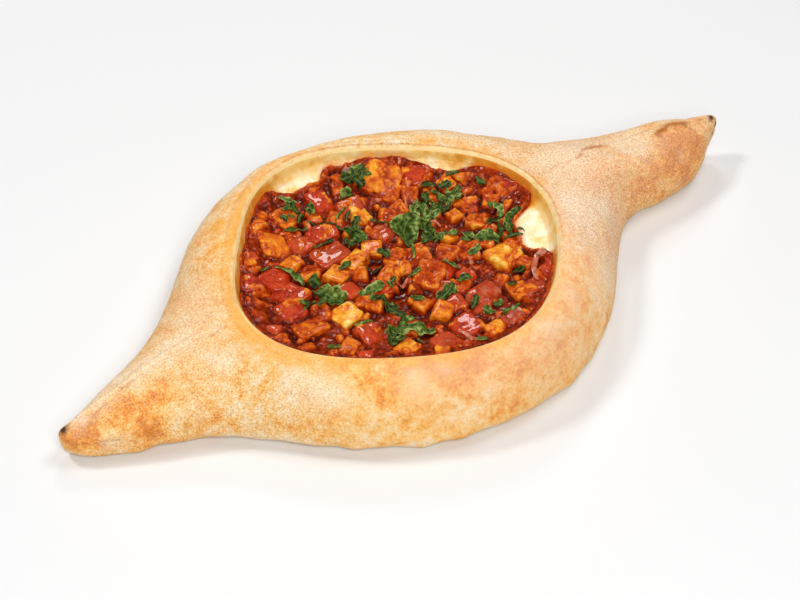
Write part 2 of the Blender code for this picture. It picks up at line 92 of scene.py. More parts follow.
# Cheese, as (distance in from the lip, height), up to the thin edge that is made finer below,
# and where it pools in front of the wall: (direction, half-width in degrees, how far)
CHEESE_OUTSIDE = ((20.4, 8.8), (11.45, 10.5), (6.45, 16), (4.05, 24))
CHEESE_INSIDE = ((5.6, 26.3), (6.6, 22), (9.4, 16.5), (14.5, 14.2), (46, 13.6))
CHEESE_POOLS = ((-17, 17, 11), (37, 14, 2.5), (95, 15, 6))
POOL_CORE = 0.4
POOL_START = (4.5, 5.5)
POOL_END = (10, 30)

# Stew: its bare surface, as (distance in from the lip, height), and the pieces cut for it, as
# (x, y, length, width, turn in degrees, tone)
STEW_SIDE = ((46, 14.1), (15, 14.8), (10, 17), (7.2, 22.2), (6.3, 25), (5.75, 27))
STEW_SURFACE = ((11, 26), (30, 25), (50, 24.6))
STEW_SWELL = 0.7
SWELL_SCALE = 1.6
STEW_TOP = 27.4
TOP_SQUASH = 0.3
PIECE_SPREAD = 0.1
PIECE_INSET = 0.45
# Chicken's tone is from 0, pale where cut, to 1, stained; tomato's from 0, deep red, to 1, rosy
CHICKEN = (
    (31, -26, 15, 14, 20, 0.12), (-43, -21, 12, 11, 10, 0.02), (-6, 28, 7, 12, -8, 0.05),
    (-22, 5, 13, 8, 25, 0.35), (-13, 7, 8, 8, 60, 0.3), (-34, 2, 9, 9, 30, 0.25),
    (-15, -10, 12, 8, 30, 0.4), (-60, -19, 14, 11, 5, 0.5), (-46, 31, 9, 13, -20, 0.45),
    (-46, 43, 8, 8, 10, 0.05), (-33, 43, 11, 9, 20, 0.4), (-61, 26, 8, 9, 0, 0.5),
    # The dark tone of the piece at (-73, 4), by the left lip, is partly its own stain and partly
    # painted shade from the lip
    (-45, 17, 9, 8, 15, 0.4), (-73, 4, 9, 9, 10, 0.95), (19, 47, 10, 15, 0, 0.4),
    (9, 44, 9, 9, 20, 0.45), (36, 25, 7, 8, 0, 0.3), (45, 26, 7, 9, 10, 0.35),
    (11, 23, 7, 8, 0, 0.5), (-54, -38, 11, 8, 30, 0.6), (-34, -51, 9, 8, 10, 0.4),
    (-11, -40, 10, 8, 40, 0.55), (0, -60, 8, 7, 0, 0.3), (22, -48, 8, 11, -10, 0.5),
)
# The rosy end of a tomato's tone is partly its pinkish flesh and partly a painted pinkish highlight
TOMATO = (
    (-29, 14, 16, 11, 10, 0.75), (-25, 27, 13, 9, -10, 0.35), (-36, 25, 9, 9, 0, 0.6),
    (-56, 13, 12, 10, 20, 0.3), (-66, 13, 9, 9, 0, 0.2), (-56, 1, 13, 14, 15, 0.25),
    (-60, -6, 12, 11, 0, 0.3), (-42, -35, 10, 12, 0, 0.55), (-20, -55, 12, 10, 10, 0.7),
    (-15, 45, 10, 13, 0, 0.3), (36, 41, 10, 11, 0, 0.05), (27, 35, 12, 8, -20, 0.3),
    (56, 9, 10, 13, 0, 0.1), (2, -19, 12, 12, 40, 0.35), (10, -41, 14, 11, 10, 0.85),
    (40, -44, 9, 15, -40, 0.1), (-7, -53, 11, 12, 10, 0.3), (-3, -39, 8, 8, 0, 0.75),
    (47, -25, 8, 9, 0, 0.15), (9, -60, 9, 6, 15, 0.9),
)
# Ranges that the pieces are drawn from; the smaller ones fill the room between the larger
CORNER_SHIFTS = (-0.22, 0.16)
PIECE_TILT = 0.28
PIECE_HEIGHTS = (7, 9)
PIECE_LEVELS = (23.6, 24.6)
PIECE_LEVEL = 25
FILLER_COUNT = 38
FILLER_SIZES = (7, 11)
FILLER_ASPECTS = (0.7, 1)
FILLER_HEIGHTS = (6, 8)
FILLER_LEVELS = (22.8, 24)
FILLER_ROOM = (0.42, 0.34)
STEW_SEED = 5
OWN_SEED = 77


def smooth(start, end, value):
    """0 before start, 1 after end, with a soft passage between them."""
    t = np.clip((np.asarray(value, float) - start) / (end - start), 0, 1)
    return t * t * (3 - 2 * t)


def hump(distance, width):
    """1 at no distance, fading away over that width."""
    return np.exp(-((np.asarray(distance, float) / width) ** 2))


def closed_spline(stations, per_station):
    """Points of a closed cubic spline through the stations."""
    points = np.asarray(stations, float)
    count = len(points)
    matrix = 4 * np.eye(count) + np.roll(np.eye(count), 1, 0) + np.roll(np.eye(count), -1, 0)
    control = np.linalg.solve(matrix / 6, points)
    step = np.arange(count * per_station) / per_station
    index = step.astype(int)
    u = (step - index)[:, None]
    weights = (
        (1 - u) ** 3 / 6,
        (3 * u**3 - 6 * u**2 + 4) / 6,
        (-3 * u**3 + 3 * u**2 + 3 * u + 1) / 6,
        u**3 / 6,
    )
    return sum(w * control[(index + k - 1) % count] for k, w in enumerate(weights))


# The solids' frame has its origin at the middle of the outline that they were lofted on
SOLID_OUTLINE = closed_spline(OUTLINE, 3)
BOX_CENTRE = (SOLID_OUTLINE.min(axis=0) + SOLID_OUTLINE.max(axis=0)) / 2


def evenly(count):
    """That many directions all round."""
    return np.arange(count) * 2 * math.pi / count


def opening_radius(angle):
    """Radius of the lip in that direction."""
    radius = np.full_like(angle, OPENING_RADIUS)
    for order, (cosine, sine) in enumerate(OPENING_WAVES, start=1):
        radius += cosine * np.cos(order * angle) + sine * np.sin(order * angle)
    return radius


def from_lip(angle, inset):
    """Plan points that far in from the lip, towards the middle of the opening."""
    radius = opening_radius(angle) - inset
    return CENTRE + np.stack([radius * np.cos(angle), radius * np.sin(angle)], axis=-1)


def from_centre(x, y):
    """Direction and distance of plan points from the middle of the opening."""
    x, y = x - CENTRE[0], y - CENTRE[1]
    return np.arctan2(y, x), np.hypot(x, y)


def around(angle, radius):
    """The plan point in that direction and at that distance from the middle of the opening."""
    return CENTRE[0] + radius * math.cos(angle), CENTRE[1] + radius * math.sin(angle)


def with_height(plan, height):
    """Plan points at one height, or each at its own."""
    return np.column_stack([plan, np.broadcast_to(height, (len(plan),))])


def risen(distance, span):
    """A soft rise between two distances."""
    start, end, height = span
    return height * smooth(start, end, distance)


def lifted(x):
    """Height of the underside: the horns curl up off the board towards their tips."""
    return risen(x, RIGHT_CURL) + risen(-x, LEFT_CURL)


def lumps(x, y):
    """The solids' low swells, from about -1 to 1."""
    return np.sin(x / 11 + 1.3 * np.sin(y / 17)) * np.sin(y / 13 + 0.6 + np.cos(x / 19))


def degrees_off(angle, direction):
    """Degrees from that direction, between -180 and 180."""
    return np.degrees(np.angle(np.exp(1j * (angle - math.radians(direction)))))


def pool_width(angle):
    """How far the cheese shows in front of the wall."""
    width = np.zeros_like(angle)
    for direction, span, size in CHEESE_POOLS:
        off = degrees_off(angle, direction)
        width += size * (1 - smooth(POOL_CORE * span, span, np.abs(off)))
    return width


def pooling(inset):
    """The pools' share of a ring's inset, none at the wall's top or in the middle."""
    return smooth(*POOL_START, inset) * (1 - smooth(*POOL_END, inset))

# ---------------------------------------------------------------- unevenness and meshes

# Smooth noise: a random direction at each whole point, picked by a hash of the point
DIRECTION_COUNT = 4096
DIRECTIONS = np.random.default_rng(3).normal(size=(DIRECTION_COUNT, 3))
DIRECTIONS /= np.linalg.norm(DIRECTIONS, axis=1)[:, None]
HASH = (73856093, 19349663, 83492791)
SEED_HASH = 977
NOISE_HEIGHT = 1.7


def uneven(points, size, seed=0):
    """Smooth unevenness from about -1 to 1 whose lumps are that size."""
    spot = np.asarray(points, float).reshape(-1, 3) / size
    cell = np.floor(spot).astype(np.int64)
    part = spot - cell
    fade = part**3 * (part * (part * 6 - 15) + 10)
    total = np.zeros(len(spot))
    for corner in itertools.product((0, 1), repeat=3):
        at = (cell + corner) * HASH
        index = ((at[:, 0] ^ at[:, 1] ^ at[:, 2]) + seed * SEED_HASH) % DIRECTION_COUNT
        weight = np.prod(np.where(corner, fade, 1 - fade), axis=1)
        total += weight * np.einsum("ij,ij->i", DIRECTIONS[index], part - corner)
    return (total * NOISE_HEIGHT).reshape(np.shape(points)[:-1])


def in_frame(points):
    """Plan points as metres of the frame."""
    return (np.asarray(points, float) - (*BOX_CENTRE, 0)) * MM


def put(name, points, faces, tones, finish, node, slot):
    """Makes one piece of the scene from plan points, to stand for that node."""
    data = bpy.data.meshes.new(name)
    local = in_frame(points).reshape(-1, 3)
    faces = np.asarray(faces, np.int32)
    data.vertices.add(len(local))
    data.vertices.foreach_set("co", local.astype(np.float32).ravel())
    data.loops.add(faces.size)
    data.loops.foreach_set("vertex_index", faces.ravel())
    data.polygons.add(len(faces))
    data.polygons.foreach_set("loop_start", np.arange(0, faces.size, faces.shape[1]))
    data.update(calc_edges=True)
    data.validate()
    for tone, values in tones.items():
        # Points that close a grid, such as poles and a skirt, come last and have no tone
        values = np.ravel(values).astype(np.float32)
        layer = data.attributes.new(tone, "FLOAT", "POINT")
        layer.data.foreach_set("value", np.pad(values, (0, len(local) - len(values))))
    data.shade_smooth()
    data.materials.append(finish)
    piece = bpy.data.objects.new(name, data)
    bpy.context.scene.collection.objects.link(piece)
    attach(piece, "root")
    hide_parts(node)


def joined(parts):
    """Meshes as one, each given as its points, its faces and its tones by name."""
    points, faces, tones = zip(*parts)
    starts = np.cumsum([0, *map(len, points)])
    return (
        np.concatenate(points),
        np.concatenate([part + start for part, start in zip(faces, starts)]),
        {name: np.concatenate([part[name] for part in tones]) for name in tones[0]},
    )


def normals_of(grid):
    """Unit normals of a closed loft of rings, pointing out of it."""
    around = np.roll(grid, -1, axis=1) - np.roll(grid, 1, axis=1)
    normal = np.cross(np.gradient(grid, axis=0), around)
    return normal / np.maximum(np.linalg.norm(normal, axis=2), 1e-9)[..., None]


def halved(quads):
    """Each quad as two triangles."""
    return np.concatenate([quads[:, [0, 1, 2]], quads[:, [0, 2, 3]]])


def capped(grid, first, last):
    """Points and triangles of a closed loft: rings of points, and a pole at each end."""
    rows, columns, _ = grid.shape
    ring = np.arange(columns)
    after = np.roll(ring, -1)
    row = np.arange(rows - 1)[:, None] * columns
    quads = np.stack([row + ring, row + after, row + columns + after, row + columns + ring], -1)
    pole = rows * columns
    end = pole - columns
    start_fan = np.stack([after, ring, np.full(columns, pole)], axis=1)
    end_fan = np.stack([end + ring, end + after, np.full(columns, pole + 1)], axis=1)
    points = np.concatenate([grid.reshape(-1, 3), [first, last]])
    return points, np.concatenate([halved(quads.reshape(-1, 4)), start_fan, end_fan])


def sheet_faces(index):
    """Quads between the points of a grid of numbers, and the numbers round its rim."""
    quads = np.stack([index[:-1, :-1], index[1:, :-1], index[1:, 1:], index[:-1, 1:]], -1)
    rim = np.concatenate([index[:-1, 0], index[-1, :-1], index[:0:-1, -1], index[0, :0:-1]])
    return quads.reshape(-1, 4), rim


# ---------------------------------------------------------------- colours and finishes

GRAIN_ROUGHNESS = 0.55


def hex_colour(code):
    """An sRGB hex value as linear light."""
    parts = [int(code[i:i + 2], 16) / 255 for i in (0, 2, 4)]
    return (*[c / 12.92 if c <= 0.04045 else ((c + 0.055) / 1.055) ** 2.4 for c in parts], 1)


def add(tree, kind, feeds=None, stops=None, **settings):
    """Adds one node: its settings, its ramp's stops, and values or nodes that feed its inputs."""
    made = tree.nodes.new("ShaderNode" + kind)
    for name, value in settings.items():
        setattr(made, name, value)
    for key, value in (feeds or {}).items():
        if isinstance(value, bpy.types.Node):
            value = value.outputs[0]
        if isinstance(value, bpy.types.NodeSocket):
            tree.links.new(value, made.inputs[key])
        else:
            made.inputs[key].default_value = value
    if stops:
        ramp = made.color_ramp.elements
        ramp[0].position, ramp[0].color = stops[0][0], hex_colour(stops[0][1])
        ramp[1].position, ramp[1].color = stops[-1][0], hex_colour(stops[-1][1])
        for place, code in stops[1:-1]:
            ramp.new(place).color = hex_colour(code)
    return made


class Finish:
    """A material: values that are the same all over it, a base colour, and layers of colour and
    relief on that, each laid on by an amount."""

    def __init__(self, name, **values):
        self.material = bpy.data.materials.new(name)
        self.material.use_nodes = True
        self.tree = self.material.node_tree
        self.shader = self.tree.nodes["Principled BSDF"]
        self.bumps = None
        for key, value in values.items():
            self.shader.inputs[key.replace("_", " ")].default_value = value

    def feed(self, socket, node):
        """Links a node to the shader."""
        self.tree.links.new(node.outputs[0], self.shader.inputs[socket])

    def amount(self, *terms, spread=None):
        """Sum of terms, each a factor after a number, a tone's name or a grain, which is
        unevenness as (size in millimetres, detail, roughness), spread over a range if given."""
        total = 0.0
        for what, factor in terms:
            if isinstance(what, str):
                what = add(self.tree, "Attribute", attribute_name=what).outputs["Fac"]
            elif isinstance(what, tuple):
                size, detail, roughness = (*what, GRAIN_ROUGHNESS)[:3]
                place = add(self.tree, "TexCoord").outputs["Object"]
                feeds = {"Vector": place, "Scale": 1 / MM / size, "Detail": detail}
                what = add(self.tree, "TexNoise", {**feeds, "Roughness": roughness})
            feeds = {0: what, 1: factor, 2: total}
            total = add(self.tree, "Math", feeds, operation="MULTIPLY_ADD")
        if spread:
            names = ("Value", "From Min", "From Max", "To Min", "To Max")
            total = add(self.tree, "MapRange", dict(zip(names, (total, *spread))))
        return total

    def base(self, stops, *terms):
        """The lowest colour, read off a ramp."""
        self.colour = add(self.tree, "ValToRGB", {"Fac": self.amount(*terms)}, stops)
        self.feed("Base Color", self.colour)

    def layer(self, code, *terms, spread=None, where=None, blend="MIX"):
        """A colour over the ones below, all over or only where a tone says."""
        cover = self.amount(*terms, spread=spread)
        if where:
            feeds = {0: self.amount((where, 1)), 1: cover}
            cover = add(self.tree, "Math", feeds, operation="MULTIPLY")
        feeds = {"Fac": cover, "Color1": self.colour, "Color2": hex_colour(code)}
        self.colour = add(self.tree, "MixRGB", feeds, blend_type=blend, use_clamp=True)
        self.feed("Base Color", self.colour)

    def relief(self, grain, depth):
        """Relief of that many millimetres, on top of any before it."""
        feeds = {"Height": self.amount((grain, 1)), "Distance": depth * MM, "Strength": 1.0}
        if self.bumps:
            feeds["Normal"] = self.bumps
        self.bumps = add(self.tree, "Bump", feeds)
        self.feed("Normal", self.bumps)


def crust_finish():
    """Wheat dough pulled by hand, floured and baked: a dry, matt, finely pored skin, cream where
    flour lies, gold where the oven caught it, orange-brown on its high spots and tips."""
    skin = Finish("baked_wheat_crust", IOR=1.45, Roughness=0.72, Specular_IOR_Level=0.3)
    blotches, mottles, freckles = (10, 4, 0.6), (4.2, 3), (1.7, 3, 0.6)
    # Real flour grains are far under a tenth of a millimetre: drawn at 1 mm so that they show
    dust = (1.0, 2, 0.7)
    # Pores of a few tenths of a millimetre: drawn at 0.7 mm so that they show
    pores = (0.7, 2, 0.7)
    skin.base(
        ((0.0, "fdedd2"), (0.2, "fde1b6"), (0.38, "fcd292"), (0.55, "fbc470"), (0.72, "f7ab46"),
         (0.86, "ef9634"), (1.0, "dc842e")),
        ("toast", 1), (blotches, 1.25), (mottles, 0.9), (freckles, 0.6), (dust, 0.6), (1.37, -1),
    )
    skin.layer("f0bd9c", ("rosy", 0.6))
    flecks = ((dust, 0.5), (freckles, 0.5), (mottles, 0.9), (blotches, 0.5))
    skin.layer("fde6c6", *flecks, spread=(0.98, 1.38), where="flour")
    skin.layer("f6ab3c", ("oil", 1.1), (mottles, 0.5), (0.3, -1), spread=(0, 1, 0, 0.85))
    # Pale cheese film on the inner wall, with painted light: a highlight on the lip's top and a
    # lightened band under the lip where it lies in shade
    skin.layer("ffe2a2", ("cheesy", 1))
    skin.layer("b8946e", (pores, 1), spread=(0.44, 0.68, 0, 0.6), where="dry", blend="MULTIPLY")
    skin.layer("ffeccc", (pores, 1), spread=(0.51, 0.34, 0, 0.4), where="dry")
    skin.layer("b46a2c", ("scorch", 1), (freckles, 0.8), (0.4, -1), spread=(0.05, 0.75, 0, 0.9))
    skin.layer("4a2616", ("char", 1), (freckles, 0.8), (0.4, -1), spread=(0.15, 0.9))
    skin.feed("Roughness", skin.amount(("oil", 1), spread=(0, 1, 0.74, 0.42)))
    skin.relief((0.9, 3, 0.6), 0.22)
    skin.relief((3.4, 3), 0.5)
    return skin.material


def cheese_finish():
    """Brined white cheese, melted and set: dense, smooth and satin, cream with oil stains."""
    skin = Finish(
        "melted_white_cheese", IOR=1.45, Roughness=0.38, Subsurface_Weight=0.12,
        Subsurface_Scale=0.003,
    )
    mottles, freckles = (7, 4), (3, 3)
    # Butter-yellow where it thins out against the bread, cream lower down
    skin.base(
        ((0.0, "fdf2da"), (0.25, "fce9c2"), (0.5, "fcdf9e"), (0.75, "fbd07c"), (1.0, "f8bc54")),
        (mottles, 1.3), ("thin", 0.36), (0.38, -1),
    )
    fat = (("fat", 1), (mottles, 1.4), (freckles, 0.8), (1.1, -1))
    skin.layer("ffb640", *fat, spread=(0, 0.7, 0, 0.9))
    skin.layer("dc8a26", *fat, spread=(0.35, 0.85, 0, 0.8))
    stains = (("stain", 1), (freckles, 0.5), (0.25, -1))
    skin.layer("e98a22", *stains, spread=(0.25, 0.95, 0, 0.85))
    skin.layer("c44a10", *stains, spread=(0.85, 1.2))
    skin.relief((2.4, 3), 0.35)
    return skin.material


def sauce_finish():
    """Tomato cooked down with oil: wet, glossy pulp, orange where thin, painted dark crimson in its
    hollows as painted shade.
    """
    skin = Finish(
        "stewed_tomato_sauce", IOR=1.38, Roughness=0.45, Specular_IOR_Level=0.05,
        Coat_Weight=0.35, Coat_Roughness=0.04,
    )
    # Tomato pulp has grains of about half a millimetre: drawn at 1 mm so that they show
    swirls, pulp, grains = (6, 4), (1.7, 3, 0.6), (1.0, 2)
    # The height tone paints the sauce dark crimson in its hollows: painted shade
    skin.base(
        ((0.0, "3c0800"), (0.2, "631600"), (0.38, "8a2602"), (0.55, "ad3a03"), (0.74, "c95709"),
         (1.0, "e88a28")),
        ("height", 1), (swirls, 0.8), (pulp, 0.7), (grains, 0.5), ("film", 0.35), (1.12, -1),
    )
    skin.layer("b8320a", ("pulp", 0.5))
    # Some shreds are pale: onion and tomato skin
    skin.layer("e88c5c", ("pulp", 1), spread=(0.5, 0.8, 0, 0.6))
    skin.relief(grains, 0.16)
    skin.relief((2.8, 2), 0.9)
    return skin.material


def chicken_finish():
    """Diced chicken stewed in the sauce: fibrous, satin, pale yellow where cut, stained orange."""
    skin = Finish(
        "stewed_chicken_meat", IOR=1.4, Roughness=0.4, Specular_IOR_Level=0.2,
        Coat_Weight=0.2, Coat_Roughness=0.1, Subsurface_Weight=0.08, Subsurface_Scale=0.002,
    )
    patches, fibres = (4.5, 4), (1.1, 3)
    skin.base(
        ((0.0, "fbd070"), (0.2, "f3a426"), (0.4, "e0740e"), (0.6, "c24a05"), (0.8, "962b02"),
         (1.0, "601200")),
        ("stain", 1), (patches, 1.2), (fibres, 0.6), (0.86, -1),
    )
    skin.relief(fibres, 0.25)
    skin.relief((1.6, 4), 0.6)
    return skin.material


def tomato_finish():
    """Peeled tomato softened in the pot: wet red flesh, rosy in places, partly its own pinkish
    flesh and partly a painted pinkish highlight.
    """
    skin = Finish(
        "stewed_tomato_flesh", IOR=1.36, Roughness=0.3, Specular_IOR_Level=0.25,
        Coat_Weight=0.45, Coat_Roughness=0.04, Subsurface_Weight=0.1, Subsurface_Scale=0.002,
    )
    patches, seeds = (4, 4), (1.3, 3, 0.6)
    skin.base(
        ((0.0, "8a1a02"), (0.25, "b22c04"), (0.5, "c83e0c"), (0.75, "d25024"), (1.0, "d87a54")),
        ("tone", 0.7), (patches, 1.6), (seeds, 0.7), (1.0, -1),
    )
    skin.layer("8a2202", ("stain", 1), spread=(0.45, 1.3))
    skin.relief(seeds, 0.5)
    skin.relief((2, 3), 1.0)
    return skin.material


def leaf_finish():
    """Fresh parsley, chopped: a thin satin leaf, dark green above, paler and matt underneath,
    with light veins."""
    skin = Finish(
        "fresh_parsley_leaf", IOR=1.42, Roughness=0.45, Specular_IOR_Level=0.15,
        Subsurface_Weight=0.1, Subsurface_Scale=0.001,
    )
    # The shade tone is each cut's own tone plus painted light on its raised parts and rims
    skin.base(
        ((0.0, "0a1000"), (0.25, "1a2800"), (0.5, "34480a"), (0.75, "566a22"), (1.0, "98a65c")),
        ("shade", 1), ((2.0, 3, 0.6), 2.1), (1.1, -1),
    )
    skin.layer("8aa254", ("vein", 0.4))
    skin.layer("8a9a60", ("under", 0.4))
    skin.relief((0.9, 3), 0.15)
    return skin.material


def onion_finish():
    """Onion slices stewed soft: slippery, half see-through, pink from the tomato."""
    skin = Finish(
        "stewed_onion_slices", IOR=1.38, Roughness=0.22, Coat_Weight=0.4, Coat_Roughness=0.05,
        Subsurface_Weight=0.4, Subsurface_Scale=0.002,
    )
    skin.base(((0.25, "a83e22"), (0.5, "c0664a"), (0.75, "d4937c")), ((2.5, 3), 1))
    return skin.material


# ---------------------------------------------------------------- the bread

# Inner wall of the dough up to its lip, as (distance in from the lip, height)
DOUGH_WALL = (
    (20, 8.3), (11, 10), (6, 16), (3.6, 24), (3.0, 27), (2.75, 28), (2.6, 29), (2.42, 30),
    (2.2, 31), (2.0, 32), (1.75, 32.8), (1.4, 33.6), (1.0, 34.2), (0.55, 34.7),
)
BEAD_STEP = 0.4
BEAD_REACH = 7.6
SHOULDER_ROWS = 60
TUCK_ROWS = 8
FOOT_SHARES = (0.2, 0.5, 1)
# The bead round the opening and the crease outside it, as (distance out, width, height)
BEAD = (2.2, 1.6, 0.25)
CREASE = (4.9, 1.0, -0.4)
CREASE_WANDER = 0.5
# Direction in degrees in which bead and crease are strongest
CREASE_DEEPEST = 140
# The groove along each horn, where the dough was pinched shut
SEAM_RAYS = 5
SEAM_DEPTH = 0.7
# Unevenness of the crust: (size, height)
CRUST_LUMPS = ((24, 0.6), (14, 0.4), (5, 0.16), (2.4, 0.07))
# Between these heights the lumps start: the foot is flat
LUMPS_START = (0.5, 5)
# Unevenness of the underside's edge, where the dough spread on the hot stone: (size, height)
EDGE_LUMPS = (13, 1.5)

# Lines pressed into the crust where the dough was pinched: points, depth, width
PINCHES = (
    (((88, 0, 34), (94, 3, 33), (98, 4, 33), (104, 3, 32)), 0.6, 0.7),
    (((68, 1, 35), (79, 0, 35)), 0.5, 0.7),
    (((131, -1, 29), (139, 2, 28), (145, 1, 28), (149, -1, 26)), 0.8, 0.9),
    (((149, -1, 26), (151, -4, 24), (148, -8, 23), (145, -12, 21)), 0.8, 1.0),
    (((-138, -4, 22), (-130, -4, 24)), 0.6, 0.7),
    (((-129, 3, 23), (-125, 2, 24)), 0.5, 0.6),
    (((-152, -7, 18), (-147, -6, 20), (-143, -6, 22)), 0.6, 0.7),
    (((-158, -13, 9), (-153, -16, 10), (-147, -19, 10), (-140, -22, 8)), 1.7, 1.3),
    (((-99, -7, 32), (-93, -7, 33)), -0.6, 1.0),
)

# How strong the toasted places are together, and how far a patch fades out past its radius
TOAST_SHARE = 0.62
PATCH_SPREAD = 1.25
# Broad places where the oven caught the crust: (x, y, z, radius, amount)
BROAD_TOAST = (
    (-140, -17, 17, 18, 0.4), (-160, -9, 10, 10, 0.2), (-112, -30, 16, 18, 0.1),
    (-66, -54, 34, 9, 0.45), (-50, -64, 34, 10, 0.6), (-34, -74, 33, 11, 0.65),
    (-14, -79, 33, 11, 0.55), (10, -80, 32, 11, 0.15), (-45, -78, 26, 14, 0.1),
    (10, -87, 20, 14, 0.15), (28, -82, 24, 12, 0.2), (-105, -22, 29, 8, 0.2),
    (-103, 23, 22, 10, 0.2), (-70, -66, 16, 9, 0.2), (-3, -90, 13, 10, 0.3),
    (-38, -89, 14, 11, 0.15), (-72, 36, 35, 10, 0.4), (-82, 16, 35, 9, 0.4), (-92, 0, 33, 8, 0.35),
    (45, -78, 10, 30, 0.1), (75, -52, 14, 26, 0.14), (132, -10, 22, 18, 0.35),
    (146, -11, 20, 10, 0.3), (155, -4, 22, 12, 0.2), (105, -14, 26, 18, 0.12),
    (95, -28, 18, 18, 0.16), (-98, 24, 26, 16, 0.15), (-60, 62, 26, 22, 0.12),
    (30, 78, 16, 30, 0.12), (-110, 20, 10, 22, 0.15), (120, 20, 18, 22, 0.15),
)
# Smaller and darker spots, with speckled edges
TOASTED = (
    (-142, -10, 21, 4, 0.3), (-139, -18, 17, 5, 0.35), (-136, -21, 15, 4.5, 0.3),
    (-126, -15, 23, 5, 0.25), (-155, -9, 17, 4.5, 0.45), (-162, -9, 11, 5, 0.6),
    (134, -11, 25, 8, 0.55), (134, -16, 14, 6, 0.4), (134, -5, 28, 5, 0.3), (122, -14, 22, 6, 0.3),
    (145, -8, 24, 5, 0.4), (51, -54, 32, 4, 0.3), (38, -63, 33, 5, 0.3), (157, -1, 23, 4, 0.4),
    (-92, -29, 31, 2, 0.3), (-95, -38, 26, 2, 0.3), (-99, -39, 21, 4, 0.12),
    (-93, -45, 18, 3.5, 0.12), (-85, -52, 20, 6, 0.3), (-89, -51, 12, 2.5, 0.35),
    (-79, -61, 13, 4, 0.4), (-77, -61, 19, 4, 0.25), (-69, -67, 18, 4, 0.3),
    (-57, -68, 30, 5.5, 0.3), (-60, -69, 27, 4, 0.3), (-64, -60, 32, 3, 0.2),
    (-53, -78, 16, 2, 0.3), (-46, -79, 21, 4, 0.2), (-75, -43, 34, 3.5, 0.3),
    (-64, -53, 34, 2.5, 0.3), (52, -54, 31, 3.5, 0.3), (40, -63, 33, 4, 0.3), (23, -71, 34, 4, 0.4),
    (40, -71, 27, 3, 0.25), (22, -80, 27, 6, 0.2), (3, -86, 25, 7, 0.3), (-23, -78, 33, 4, 0.25),
    (-8, -80, 33, 4, 0.25), (-140, -17, 17, 6.5, 0.25), (-143, -10, 21, 4, 0.25),
    (-136, -22, 14, 4, 0.3), (-125, -16, 23, 5, 0.4), (-129, -14, 23, 2.5, 0.25),
    (-156, -10, 16, 2.5, 0.45), (-110, -11, 29, 3, 0.25), (-113, -27, 22, 6, 0.3),
    (-111, -32, 15, 4, 0.12), (-163, -9, 13, 3.5, 0.4), (-160, -11, 6, 2.5, 0.4),
    (-153, -14, 4, 2.5, 0.3), (133, -7, 28, 5, 0.4), (126, -14, 23, 4, 0.5),
    (144, -8, 25, 3.5, 0.45), (118, -16, 23, 5, 0.35), (108, -17, 18, 5, 0.3),
    (106, -6, 32, 4, 0.35), (92, -8, 34, 5, 0.4), (80, -14, 33, 6, 0.5), (87, -15, 31, 6, 0.3),
    (134, -16, 13, 2.5, 0.4), (106, -16, 25, 7, 0.45), (120, -16, 10, 6, 0.4),
    (50, -54, 32, 5, 0.4), (37, -71, 29, 6, 0.4), (17, -75, 34, 4, 0.3), (70, 18, 34, 5, 0.4),
    (143, -13, 20, 2.5, 0.3), (156, -2, 23, 2, 0.4), (-24, 64, 33, 3.5, 0.4),
    (51, 34, 35, 3.5, 0.35), (73, 18, 34, 4, 0.2), (-54, 62, 30, 5, 0.3), (-67, 49, 31, 4, 0.3),
    (-76, 49, 26, 4, 0.25), (-95, 22, 28, 5, 0.25), (-106, 7, 29, 3.5, 0.2), (20, 82, 20, 6, 0.25),
    (60, 62, 20, 6, 0.3), (-20, 84, 12, 7, 0.3), (100, 22, 18, 5, 0.25), (130, 14, 20, 5, 0.3),
    (-120, 14, 14, 6, 0.3), (-90, 40, 12, 5, 0.25),
)
# Where flour still lies
FLOURED = (
    (-141, 4, 17, 6, 0.9), (-147, 2, 16, 5, 0.9), (-156, -3, 17, 4, 0.8), (-133, 2, 22, 5, 0.9),
    (-145, -19, 11, 3, 0.4), (-151, -16, 10, 2.5, 0.5), (116, -1, 31, 6, 0.9),
    (68, -20, 34, 6, 0.7), (67, -28, 34, 6, 0.7), (80, -26, 29, 8, 0.8), (62, -56, 23, 8, 0.6),
    (-77, -53, 29, 7, 0.8), (-84, -44, 30, 4, 0.6), (-90, -22, 33, 3, 0.4), (-72, -60, 27, 4, 0.5),
    (-46, -73, 30, 5, 0.6), (33, -67, 33, 4, 0.5), (56, -58, 26, 4, 0.6), (15, -78, 33, 3.5, 0.5),
    (29, -82, 16, 4, 0.4), (-117, -25, 21, 3, 0.4), (-117, -28, 16, 2, 0.4), (-122, 1, 26, 5, 0.8),
    (-101, -20, 30, 4, 0.9), (-150, -17, 10, 3, 0.7), (-147, -3, 20, 4, 0.8),
    (-131, -3, 25, 4, 0.7), (-124, -3, 27, 5, 0.7), (-159, -5, 15, 3, 0.5), (114, -2, 31, 4, 0.9),
    (112, -5, 31, 4, 0.7), (135, -13, 22, 2, 0.6), (81, -25, 29, 3.5, 0.8),
    (131, -16, 11, 2.5, 0.5), (76, -10, 34, 5, 0.5), (-110, -3, 30, 6, 0.6),
    (-135, 2, 21, 3.5, 0.7), (95, 8, 33, 8, 0.6), (60, 45, 34, 9, 0.5), (86, -2, 34, 7, 0.6),
    (-96, 8, 32, 9, 0.5), (-44, -70, 33, 3, 0.4), (-33, -74, 33, 3, 0.4), (-54, -60, 34, 3, 0.3),
    (0, 74, 30, 8, 0.4), (-70, 60, 22, 8, 0.4), (120, 3, 30, 9, 0.6), (77, 4, 34, 9, 0.5),
    (-41, 64, 33, 9, 0.5), (-91, 23, 30, 6, 0.5), (66, -30, 34, 8, 0.5),
)
